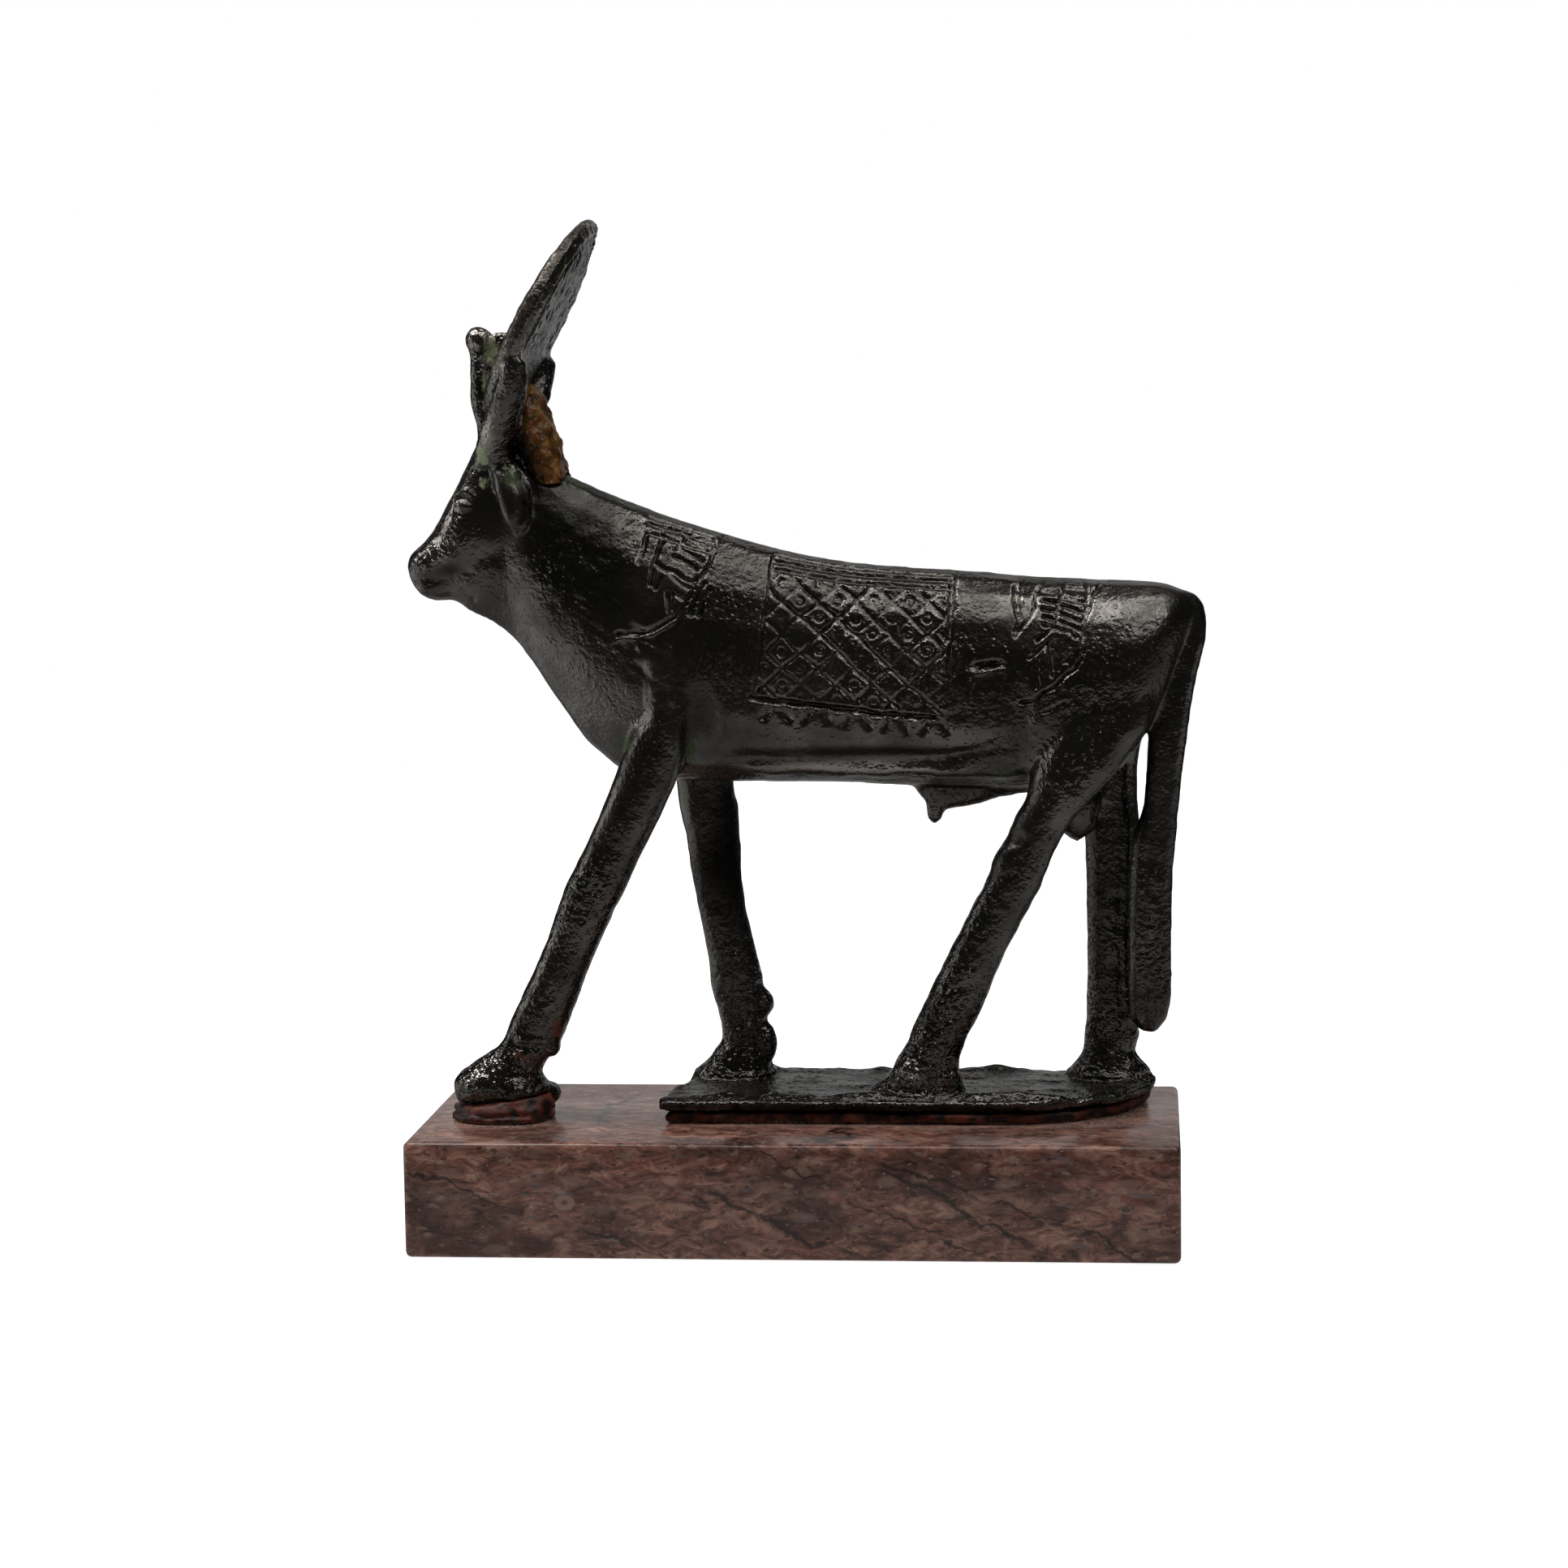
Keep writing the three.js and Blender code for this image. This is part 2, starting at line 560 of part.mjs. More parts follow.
// The lump of putty under the advanced forefoot, squeezed out a little at its foot.
function forefootBed() {
  const sides = 20;
  const { x, y, alongX, alongY } = FOREFOOT;
  const floor = (stoneTop + GAP) / SHARE;
  const bedRing = (height, { along, across }) =>
    levelRing([x, y, height, alongX * along, alongY * across], sides);
  const rings = [
    bedRing(floor, BED_FOOT),
    bedRing(floor + BED_BULGE_HEIGHT, BED_BULGE),
    soleRing(sides, BED_FOOT.along, -GAP / 2),
  ];
  return loft(rings).subtract(lump(FOREFOOT_HEEL.at, FOREFOOT_HEEL.size, GAP));
}

// Ochre fill between the disc, the horns and the nape.
function napeFill() {
  const body = member([
    [-31.0, 0, 76.6, 2.7, 4.2],
    [-31.9, 0, 79.5, 2.8, 4.2],
    [-32.5, 0, 82.0, 2.7, 4.2],
    [-33.3, 0, 85.0, 2.5, 4.0],
    [-33.6, 0, 87.4, 1.9, 3.2],
    [-33.4, 0, 89.0, 0.9, 1.6],
  ], 12);
  return cut(body, [trunk(GAP), disc(GAP), hornStump(-1, GAP), hornStump(1, GAP)]);
}

function stonePlinth() {
  const shape = new THREE.Shape();
  const halfLength = plinthLength / 2;
  const halfDepth = plinthDepth / 2;
  shape.moveTo(-halfLength, -halfDepth);
  shape.lineTo(halfLength, -halfDepth);
  shape.lineTo(halfLength, halfDepth);
  shape.lineTo(-halfLength, halfDepth);
  const block = new THREE.ExtrudeGeometry(shape, {
    depth: PLINTH_HEIGHT - 2 * PLINTH_BEVEL,
    bevelThickness: PLINTH_BEVEL,
    bevelSize: PLINTH_BEVEL,
    bevelOffset: -PLINTH_BEVEL,
    bevelSegments: 2,
  });
  block.translate(0, 0, PLINTH_BEVEL);
  return solid(block);
}

// Materials and scene

const bronze = new THREE.MeshStandardMaterial({ color: "#211f1c", roughness: 0.42, metalness: 0.7 });
const putty = new THREE.MeshStandardMaterial({ color: "#4a1d17", roughness: 0.6, metalness: 0 });
const ochre = new THREE.MeshStandardMaterial({ color: "#a5691c", roughness: 0.7, metalness: 0 });
const limestone = new THREE.MeshStandardMaterial({ color: "#6b4c44", roughness: 0.2, metalness: 0 });

function piece(name, manifold, material) {
  const mesh = new THREE.Mesh(geometryOf(manifold), material);
  mesh.name = name;
  return mesh;
}

const figure = new THREE.Group();
figure.position.set(figureX, figureY, soleHeight);
figure.add(
  piece("bronze_bull", bronzeBull(), bronze),
  piece("plate_bed", plateBed(), putty),
  piece("forefoot_bed", forefootBed(), putty),
  piece("nape_fill", napeFill(), ochre),
);

const model = new THREE.Group();
model.add(piece("stone_plinth", stonePlinth(), limestone), figure);

export default model;
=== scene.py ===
"""Striding Apis bull: a small cast bronze bedded with putty on a block of polished
limestone, with the headdress, the engraved saddle cloth and the old repairs."""
import itertools
import math

import bmesh
import bpy
import numpy as np
from mathutils import Matrix, Vector


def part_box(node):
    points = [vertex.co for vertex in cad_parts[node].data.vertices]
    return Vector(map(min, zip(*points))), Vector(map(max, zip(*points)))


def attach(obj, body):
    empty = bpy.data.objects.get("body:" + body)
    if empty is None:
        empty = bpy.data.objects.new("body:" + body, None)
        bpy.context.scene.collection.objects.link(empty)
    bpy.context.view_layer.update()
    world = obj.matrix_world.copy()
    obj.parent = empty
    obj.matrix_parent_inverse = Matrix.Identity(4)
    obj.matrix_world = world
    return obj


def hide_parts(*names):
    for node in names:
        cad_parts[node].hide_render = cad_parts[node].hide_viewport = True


bl_info = {
    "name": "Apis bull figure",
    "version": (1, 0, 0),
    "blender": (4, 5, 0),
    "location": "View3D > Sidebar > Bull",
    "description": "Dresses the solids of a small bronze Apis bull on its stone plinth",
    "category": "Object",
}

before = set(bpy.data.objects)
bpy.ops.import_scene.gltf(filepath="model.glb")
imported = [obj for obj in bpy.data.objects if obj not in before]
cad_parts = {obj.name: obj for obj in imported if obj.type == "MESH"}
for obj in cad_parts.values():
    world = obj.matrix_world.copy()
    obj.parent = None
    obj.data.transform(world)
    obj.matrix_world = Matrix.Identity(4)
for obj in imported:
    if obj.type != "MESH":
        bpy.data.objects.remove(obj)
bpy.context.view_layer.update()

MM = 0.001
# The figure's own measure, in millimetres: x from the middle of its footprint, y
# from its middle plane, z from its soles. The bull faces -x, its near side -y.
FIGURE = np.array([0.2, 3.05, 17.55])
STONE_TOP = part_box("stone_plinth")[1][2]
PLINTH_BEVEL = 0.00075
BRONZE_TRIANGLES = 190000
# Spacing of the putty's and the fill's surface, and points nearer than this are one
BED_SPACING = 0.00035
FILL_SPACING = 0.00022
WELD = 1e-6


# Sizes and colours that a user may change

class BullSizes(bpy.types.PropertyGroup):
    skin: bpy.props.FloatProperty(
        name="Skin", description="Spacing of the sculpted surface before it is refined",
        default=0.00042, unit="LENGTH")
    groove: bpy.props.FloatProperty(
        name="Groove", description="Depth of the engraved lines", default=0.00036, unit="LENGTH")
    line: bpy.props.FloatProperty(
        name="Line", description="Half width of the engraved lines", default=0.00024, unit="LENGTH")
    hammer: bpy.props.FloatProperty(
        name="Unevenness", description="Height of the uneven places of the casting",
        default=0.00010, unit="LENGTH")
    pit: bpy.props.FloatProperty(
        name="Pits", description="Depth of the corrosion pits", default=0.00016, unit="LENGTH")


class BullColours(bpy.types.PropertyGroup):
    patina: bpy.props.StringProperty(
        name="Patina", description="Dark waxed oxide, as it reflects", default="#5c5955")
    # Near black for dirt in the hollows, and also for the painted shade patches on the bronze
    dirt_and_shade: bpy.props.StringProperty(
        name="Dirt", description="Dirt and old wax in the hollows", default="#0d0a07")
    brown: bpy.props.StringProperty(
        name="Brown", description="Brown oxide in the engraved places", default="#4a3625")
    green: bpy.props.StringProperty(
        name="Green", description="Copper green in hollows", default="#3a4f24")
    chalk: bpy.props.StringProperty(
        name="Chalk", description="Pale green crust on the headdress", default="#aab48c")
    rust: bpy.props.StringProperty(
        name="Red oxide", description="Red oxide on the forefoot", default="#7a3214")
    putty: bpy.props.StringProperty(
        name="Putty", description="Putty of the beds", default="#74341f")
    ochre: bpy.props.StringProperty(
        name="Ochre", description="Fill at the nape", default="#77490f")
    stone: bpy.props.StringProperty(
        name="Stone", description="Ground of the limestone", default="#906356")


class StageSizes(bpy.types.PropertyGroup):
    floor: bpy.props.FloatProperty(
        name="Floor", description="Radius of the pale floor", default=0.5, unit="LENGTH")
    distance: bpy.props.FloatProperty(
        name="Distance", description="Distance of the soft lights from the bull",
        default=0.55, unit="LENGTH")
    overhead: bpy.props.FloatProperty(
        name="Overhead", description="Power of the light above and in front",
        default=0.52, unit="POWER")
    side: bpy.props.FloatProperty(
        name="Side", description="Power of the light above the left", default=1.2, unit="POWER")
    fill: bpy.props.FloatProperty(
        name="Fill", description="Power of the light in front on the right",
        default=0.34, unit="POWER")
    table: bpy.props.FloatProperty(
        name="Table", description="Light that the white table throws back", default=1.0, min=0)


def sizes():
    return bpy.context.scene.bull_sizes


def colours():
    return bpy.context.scene.bull_colours


# Random unevenness worked out for many places at once

def hashed(cells, seed):
    """A number from 0 to 1 for each whole-number cell."""
    mixed = cells @ np.array([127.1, 311.7, 74.7]) + 53.9 * seed
    value = np.sin(mixed) * 43758.5453
    return value - np.floor(value)


def lumps(places, size, seed=0):
    """Smooth heights from -1 to 1 whose lumps are about `size` millimetres wide."""
    scaled = places / size
    cells = np.floor(scaled)
    inside = scaled - cells
    fade = inside * inside * (3 - 2 * inside)
    total = np.zeros(len(places))
    for corner in itertools.product((0, 1), repeat=3):
        weight = np.prod(np.where(corner, fade, 1 - fade), axis=1)
        total += weight * hashed(cells + corner, seed)
    return 2 * total - 1


def pits(places, size, share, seed=0):
    """Round hollows from 0 to 1, one in `share` of the cells, `size` millimetres apart."""
    scaled = places / size
    cells = np.floor(scaled)
    deepest = np.zeros(len(places))
    for corner in itertools.product((-1, 0, 1), repeat=3):
        cell = cells + corner
        middle = cell + np.stack([hashed(cell, seed + k) for k in (1, 2, 3)], axis=1)
        radius = 0.18 + 0.3 * hashed(cell, seed + 4)
        distance = np.linalg.norm(scaled - middle, axis=1)
        depth = np.clip(1 - distance / radius, 0, 1) * (hashed(cell, seed + 5) < share)
        deepest = np.maximum(deepest, depth)
    return deepest * (2 - deepest)


def step(value, low, high):
    """Smooth rise from 0 at `low` to 1 at `high`."""
    t = np.clip((value - low) / (high - low), 0, 1)
    return t * t * (3 - 2 * t)


def span(value, start, full, fading, gone):
    """1 from `full` to `fading`, with smooth ends at `start` and `gone`."""
    return step(value, start, full) * step(value, gone, fading)


def ridge(value, middle, width):
    """Rounded ridge, 1 high at `middle` and a third as high a `width` from it."""
    return np.exp(-(((value - middle) / width) ** 2))


def line_distance(x, z, line, reach):
    """Distance in the side view from each place to a line of straight pieces."""
    nearest = np.full(len(x), float(reach))
    for (ax, az), (bx, bz) in zip(line, line[1:]):
        close = np.nonzero(
            (x > min(ax, bx) - reach) & (x < max(ax, bx) + reach)
            & (z > min(az, bz) - reach) & (z < max(az, bz) + reach))[0]
        if len(close) == 0:
            continue
        dx, dz = bx - ax, bz - az
        px, pz = x[close] - ax, z[close] - az
        along = np.clip((px * dx + pz * dz) / (dx * dx + dz * dz), 0, 1)
        distance = np.hypot(px - along * dx, pz - along * dz)
        nearest[close] = np.minimum(nearest[close], distance)
    return nearest


def spot(places, middle, half):
    """1 at a middle, fading to 0 at the given half sizes from it."""
    distance = np.linalg.norm((places - middle) / half, axis=1)
    return step(distance, 1.0, 0.25)


# The engraving, as an engraver would lay it out in the side view

CLOTH_FRONT = [(-2.7, 67.4), (-3.1, 64.1), (-3.7, 59.1), (-4.4, 54.1), (-4.9, 50.2)]
CLOTH_FOOT = [(-5.1, 50.3), (0.0, 49.4), (5.0, 48.6), (8.5, 48.4), (14.0, 47.8), (17.4, 47.5)]
CLOTH_REAR = [(20.1, 65.2), (19.8, 61.0), (19.5, 58.6), (19.7, 57.4), (19.1, 55.0), (18.7, 53.6)]
CLOTH_REAR_SECOND = [(19.3, 64.2), (19.2, 60.5), (18.9, 57.0)]
# Net of the cloth: one diamond's width and height, and the place of one crossing.
NET_WIDTH, NET_HEIGHT = 4.5, 4.1
NET_X, NET_Z = 3.1, 57.8
RING_RADIUS = 0.5
SPINE_LINES = (2.5, 3.6, 4.7)
FRINGE_DROPS = 10
# The wing of a vulture on the shoulder: its outline, then its feathers.
WING_EDGE = [(-21.8, 57.5), (-18.9, 57.8), (-16.9, 58.5), (-14.6, 59.5), (-13.1, 61.2), (-11.9, 64.1)]
WING_EDGE_SECOND = [(-12.6, 59.9), (-12.0, 61.6), (-10.9, 63.7)]
WING = [
    [(-11.9, 64.1), (-11.2, 65.0)],
    [(-10.1, 63.6), (-10.7, 62.6), (-11.2, 61.1), (-11.7, 60.4)],
    [(-9.2, 69.8), (-10.0, 67.8), (-10.6, 66.4), (-11.4, 64.9)],
    [(-15.9, 70.8), (-13.9, 70.5), (-11.9, 69.6), (-10.1, 69.2)],
    [(-16.3, 70.2), (-16.9, 68.5), (-17.6, 67.0), (-17.7, 64.4)],
    [(-13.4, 70.0), (-14.1, 68.9), (-14.9, 68.4)],
    [(-18.4, 70.1), (-18.9, 68.0), (-19.2, 66.9)],
    [(-17.3, 67.0), (-15.9, 65.9), (-14.9, 65.6), (-13.9, 64.9), (-12.6, 64.4)],
    [(-15.1, 65.3), (-13.8, 64.1), (-12.2, 63.4)],
    [(-16.5, 65.3), (-17.1, 63.9)],
    [(-14.9, 63.2), (-14.9, 61.1)],
    [(-15.6, 63.4), (-15.3, 60.8)],
    [(-14.6, 62.9), (-13.1, 61.9)],
]
# The winged beetle on the rump: uprights, chevron, legs and the curves below.
RUMP = [
    [(28.3, 63.8), (28.1, 62.2), (27.8, 60.3), (27.2, 58.1)],
    [(27.4, 63.0), (27.3, 59.6)],
    [(30.7, 63.7), (30.0, 62.6), (29.8, 60.8), (28.5, 58.9), (27.3, 57.6)],
    [(33.2, 63.6), (32.9, 62.1), (32.6, 60.4), (32.3, 58.4)],
    [(35.8, 63.7), (36.1, 62.2), (36.0, 59.2), (35.8, 57.6), (36.1, 57.2), (35.6, 55.4)],
    [(37.6, 63.0), (36.8, 62.2), (36.5, 60.9), (36.1, 59.4)],
    [(32.0, 58.4), (30.9, 57.4), (30.2, 56.9)],
    [(31.4, 56.6), (29.9, 55.4), (29.0, 54.9)],
    [(32.6, 58.3), (34.1, 58.0), (34.8, 57.2)],
    [(31.3, 56.4), (31.6, 54.6), (31.9, 52.6)],
    [(30.05, 54.6), (30.05, 51.2)],
    [(34.2, 55.2), (33.4, 54.3)],
    [(27.9, 49.3), (29.2, 49.5), (31.7, 50.9), (33.6, 52.7), (34.9, 53.6), (35.5, 54.8)],
    [(30.8, 48.0), (32.3, 48.6), (33.6, 49.3)],
]
CASTING_SLIT = (24.0, 54.0)
# Where the flank and the back are engraved: heights, and lengths of cloth and wing.
FLANK_LOW, FLANK_HIGH, BACK_LOW = 44, 72, 60
CLOTH_LENGTH = (-2.6, 19.6)
WING_LENGTH = (-18.5, -9.8)


def feather_rows():
    """Short rows of feathers: three on the wing's shoulder, ten between the uprights."""
    rows = []
    for n, (start, end) in enumerate([(-13.0, -10.9), (-14.1, -11.3), (-15.0, -11.9)]):
        top = 69.4 - 0.95 * n
        rows.append([(start, top), (end, top - 0.5 * (end - start))])
    for n in range(5):
        height = 62.6 - 0.95 * n
        fall = 0.25 * n
        rows.append([(30.5 + 0.1 * n, height), (32.6 - 0.05 * n, height - 0.6 * fall)])
        rows.append([(33.4 - 0.1 * n, height + 0.4), (35.7, height + 0.2 - fall)])
    return rows


def net(x, z):
    """Which line of the net lies nearest, how far it is, and how far the ring is."""
    across = (x - NET_X) / NET_WIDTH
    up = (z - NET_Z) / NET_HEIGHT
    slope = math.hypot(1 / NET_WIDTH, 1 / NET_HEIGHT)
    rising, falling = across - up, across + up
    from_rising = np.abs(rising - np.round(rising)) / slope
    from_falling = np.abs(falling - np.round(falling)) / slope
    middle_rising = np.floor(rising) + 0.5
    middle_falling = np.floor(falling) + 0.5
    ring_x = NET_X + NET_WIDTH * (middle_rising + middle_falling) / 2
    ring_z = NET_Z + NET_HEIGHT * (middle_falling - middle_rising) / 2
    from_ring = np.hypot(x - ring_x, z - ring_z)
    return np.round(rising), np.round(falling), from_rising, from_falling, from_ring


def fringe(x, z):
    """Drops pressed in below the cloth, leaning left and right in turn."""
    deepest = np.zeros(len(x))
    for n in range(FRINGE_DROPS):
        share = n / (FRINGE_DROPS - 1)
        middle_x = -3.4 + 22.0 * share
        middle_z = 48.1 - 1.9 * share
        lean = math.radians(28 if n % 2 else -28)
        u = (x - middle_x) * math.cos(lean) + (z - middle_z) * math.sin(lean)
        v = (z - middle_z) * math.cos(lean) - (x - middle_x) * math.sin(lean)
        deepest = np.maximum(deepest, np.exp(-((u / 0.5) ** 2) - (v / 1.0) ** 4))
    return deepest


def chiselled(distance, width):
    """Section of a chiselled line: a hollow with a low burr on either side."""
    return ridge(distance, 0, width) - 0.2 * ridge(distance, 1.9 * width, 0.75 * width)


def casting_slit(x, z):
    """The lens-shaped gap over the flank, with a lip pressed out below it."""
    u = x - CASTING_SLIT[0]
    v = z - CASTING_SLIT[1] - 0.12 * u
    ends = np.exp(-((u / 1.9) ** 4))
    return ends * (2.2 * ridge(v, 0, 0.42) - 0.7 * ridge(v, -0.85, 0.3))


def uneven_hand(index, seed):
    """How hard each line of the net was cut."""
    cells = np.stack([index, np.full(len(index), seed), np.zeros(len(index))], axis=1)
    return 0.6 + 0.7 * hashed(cells, seed)


def engraving(places, normals):
    """How deep each place is cut, as a share of the groove's depth."""
    half = sizes().line / MM
    wobble = np.stack([lumps(places, 3.5, 21), lumps(places, 3.5, 22)], axis=1) * 0.28
    wobble += np.stack([lumps(places, 1.1, 24), lumps(places, 1.1, 25)], axis=1) * 0.1
    x = places[:, 0] + wobble[:, 0]
    z = places[:, 2] + wobble[:, 1]
    y = np.abs(places[:, 1])
    level = places[:, 2]
    flank = step(np.abs(normals[:, 1]), 0.12, 0.35) * (level > FLANK_LOW) * (level < FLANK_HIGH)
    # The cloth's front edge leans back as it rises, and its foot falls towards the tail.
    front = -2.7 - 2.2 * (67.4 - z) / 17.2
    foot = 49.5 - 0.115 * x
    on_cloth = step(x - front, 0.1, 0.4) * step(19.0 - x, 0, 0.3) * step(z - foot, 0.4, 0.8)
    on_cloth *= step(y, 4.5, 4.9)
    faint = 0.75 + 0.45 * lumps(places, 1.9, 23)

    rising, falling, from_rising, from_falling, from_ring = net(x, z)
    depth = chiselled(from_rising, half) * uneven_hand(rising, 3)
    other = chiselled(from_falling, half) * uneven_hand(falling, 5)
    depth = np.where(np.abs(other) > np.abs(depth), other, depth)
    rings = chiselled(np.abs(from_ring - RING_RADIUS), half * 0.75) * step(faint, 0.5, 0.9)
    depth = np.maximum(depth, 0.8 * rings)
    depth = np.maximum(depth, 0.6 * ridge(from_ring, 0, 0.7 * half))
    depth *= on_cloth * faint

    def carve(shape):
        return np.where(np.abs(shape) > np.abs(depth), shape, depth)

    depth = carve(0.7 * chiselled(line_distance(x, z, CLOTH_FRONT, 1.5), half))
    for stroke in (CLOTH_REAR, CLOTH_REAR_SECOND, *WING, *RUMP, *feather_rows()):
        depth = carve(1.1 * chiselled(line_distance(x, z, stroke, 1.5), half) * faint)
    broken = 0.35 + 0.75 * step(lumps(places, 1.5, 27), -0.5, 0.3)
    for edge in (WING_EDGE, WING_EDGE_SECOND):
        depth = carve(0.9 * ridge(line_distance(x, z - 0.55, edge, 1.5), 0, 0.35))
        depth = carve(-0.6 * ridge(line_distance(x, z, edge, 1.5), 0, 0.24) * broken)
    ragged = (1.2 + 0.4 * lumps(places, 1.4, 26)) * step(x, 24, 14)
    depth = carve(1.5 * chiselled(line_distance(x, z, CLOTH_FOOT, 2), half * ragged + 0.05))
    depth = carve(1.5 * fringe(x, z))
    depth = carve(casting_slit(x, z))
    depth *= flank
    on_back = np.zeros(len(places), dtype=bool)
    for start, end in (CLOTH_LENGTH, WING_LENGTH):
        on_back |= (x > start) & (x < end) & (level > BACK_LOW)
    for width in SPINE_LINES:
        depth = carve(0.8 * chiselled(np.abs(y - width), half) * on_back)
    return depth


# The head, seen from the side: soft strokes that rise (+) or sink (-), as line,
# half width and height in millimetres

HEAD = [
    ([(-42.6, 75.0), (-41.9, 75.8), (-40.9, 75.9), (-40.1, 75.3)], 0.38, 0.24),
    ([(-42.4, 74.0), (-42.0, 74.9), (-41.2, 75.1), (-40.5, 74.6)], 0.26, -0.22),
    ([(-41.6, 74.1), (-41.3, 74.1)], 0.5, 0.3),
    ([(-42.3, 73.2), (-41.4, 72.9), (-40.5, 73.3)], 0.34, -0.2),
    ([(-48.4, 65.0), (-46.5, 65.0), (-44.0, 64.9), (-41.8, 65.8)], 0.9, -0.35),
    ([(-47.6, 67.5), (-47.1, 67.9)], 0.45, -0.2),
    ([(-47.6, 66.7), (-45.6, 67.4), (-44.2, 68.2)], 1.3, 0.25),
    ([(-47.2, 63.4), (-45.0, 63.0)], 0.8, 0.2),
    ([(-42.2, 63.4), (-41.2, 62.6)], 0.6, -0.35),
    ([(-40.8, 66.8), (-38.6, 67.6), (-36.6, 68.2), (-34.6, 69.2), (-32.5, 69.6)], 1.3, -0.2),
    ([(-33.6, 77.4), (-33.0, 75.6), (-33.3, 73.6), (-34.3, 71.4)], 0.9, -0.6),
    ([(-36.0, 77.5), (-35.8, 74.4), (-35.1, 71.4)], 0.9, 0.15),
    ([(-37.6, 79.3), (-35.0, 78.9)], 0.5, 0.3),
]


def head_relief(places, normals):
    x, y, z = places.T
    side = step(np.abs(normals[:, 1]), 0.1, 0.4) * (x < -29) * (z > 58) * (z < 82)
    height = np.zeros(len(places))
    for line, width, rise in HEAD:
        height += rise * ridge(line_distance(x, z, line, 3 * width), 0, width)
    return height * side


# Swellings and hollows of the body, as middle, half sizes and height in millimetres
FORMS = [
    ((-11.8, -7.5, 46.6), (3.4, 6, 6.5), -0.75),
    ((-16.6, -9, 51.5), (2.6, 6, 8.5), 0.55),
    ((-27.5, -6, 58.0), (7, 8, 9), 0.3),
    ((28.0, -8.5, 46.5), (2.0, 6, 7.5), -0.55),
    ((28.0, 8.5, 46.5), (2.0, 6, 7.5), -0.4),
    ((35.5, -9, 41.0), (6.5, 6, 8), 0.35),
    ((44.0, -6.5, 56.0), (2.6, 6, 9), -0.35),
    ((26.2, -8, 36.0), (2.4, 4, 2.6), 0.55),
    ((27.4, -8, 32.4), (2.0, 4, 1.5), -0.35),
    ((25.2, -8, 29.8), (2.4, 4, 2.2), 0.4),
    ((13.6, -9, 3.0), (2.6, 4, 2.6), 0.45),
    ((19.5, -9, 2.2), (2.0, 4, 1.8), 0.4),
    ((-30.8, -8, 5.6), (1.4, 4, 1.4), 0.5),
    ((-31.2, -8, 3.4), (1.6, 4, 1.0), -0.5),
    ((-34.5, -8, 6.4), (3.6, 5, 0.9), -0.35),
    ((-40.8, -8, 1.2), (3.2, 5, 2.4), 0.45),
    ((-36.0, -9, 0.6), (2.4, 4, 2.2), 0.35),
    ((-40.2, 0, 94.6), (2.4, 3, 2.6), 0.3),
    ((-39.8, 0, 88.5), (1.6, 3, 5.0), 0.2),
    ((38.5, 6, 3.0), (2.6, 4, 2.6), 0.4),
    ((-8.0, 6, 2.0), (2.8, 4, 2.2), 0.45),
]


def body_relief(places, normals):
    x, y, z = places.T
    height = np.zeros(len(places))
    for middle, half, rise in FORMS:
        height += rise * spot(places, np.array(middle), np.array(half))
    # A groove runs along the belly above its uneven lower edge.
    under = span(x, -9, -5, 25, 29) * step(np.abs(y), 1.0, 3.0)
    bent = z - 0.9 * lumps(places, 9.0, 66) - 0.05 * (x - 10)
    height -= 0.75 * under * ridge(bent, 42.6, 1.0) * (0.7 + 0.5 * lumps(places, 5.0, 67))
    lower_edge = under * ridge(z, 40.8, 1.0)
    height += lower_edge * (0.4 + 0.22 * lumps(places * np.array([0.5, 1, 1]), 1.3, 74))
    # Below its gap the tail is thicker, and it is joined to the far hind leg.
    below_gap = span(z, 6.5, 9, 31, 36)
    height += 0.8 * below_gap * step(-normals[:, 0], 0.2, 0.6) * (x > 40.6) * (np.abs(y) < 3.4)
    height += 0.4 * below_gap * step(normals[:, 0], 0.2, 0.6) * (x > 38) * (y > 3)
    # Folds of skin on the nape, and jagged tufts behind the ear.
    nape = span(x, -35, -31, -20, -15) * step(z, 60, 64)
    folds = lumps(np.stack([x * 0.35 + z * 0.25, y * 0.2, z * 1.0 - x * 0.3], axis=1), 1.0, 65)
    height += 0.09 * nape * folds
    tufted = step(np.abs(x + z - 38.5), 7.5, 3.0) * step(x, -35, -30) * step(x, -15, -19)
    tufted *= step(y, -4, -7)
    strands = np.stack([(x - 0.7 * z) * 0.45, y * 0.3, z + 0.7 * x], axis=1)
    height -= tufted * (0.24 * step(lumps(strands, 1.5, 68), 0.1, 0.7) + 0.1 * lumps(strands, 0.8, 69))
    return height


# Patches of the finish and of painted light and shade, as middle, half sizes in millimetres and strength
GREEN = [
    ((-38.7, -1, 88.6), (1.6, 3, 2.2), 0.6), ((-38.9, -3.5, 79.6), (1.7, 3, 2.6), 0.55),
    ((-35.0, -6, 77.4), (2.0, 6, 1.6), 0.6), ((-21.4, -6, 44.2), (1.7, 6, 2.4), 0.56),
    ((-37.2, -5, 87.0), (1.5, 6, 1.6), 0.5), ((-33.0, -6, 81.5), (1.6, 6, 4.5), 0.42),
    ((-30.5, -6, 103.0), (1.3, 9, 3.0), 0.5),
    ((-13.2, -5, 43.2), (1.6, 6, 3.6), 0.48), ((26.0, -6, 40.6), (3.0, 4, 1.8), 0.45),
    ((40.8, 6, 24.0), (1.6, 6, 10.0), 0.52), ((-31.0, -3, 95.0), (1.6, 5, 6.0), 0.35),
    ((-27.5, -2, 76.8), (6.0, 4, 2.4), 0.45), ((20.0, -9, -0.5), (9.0, 3, 1.6), 0.38),
    ((38.0, -6, -1.0), (7.0, 6, 2.0), 0.36), ((-28.5, -6, 73.0), (4.0, 5, 4.0), 0.36),
]
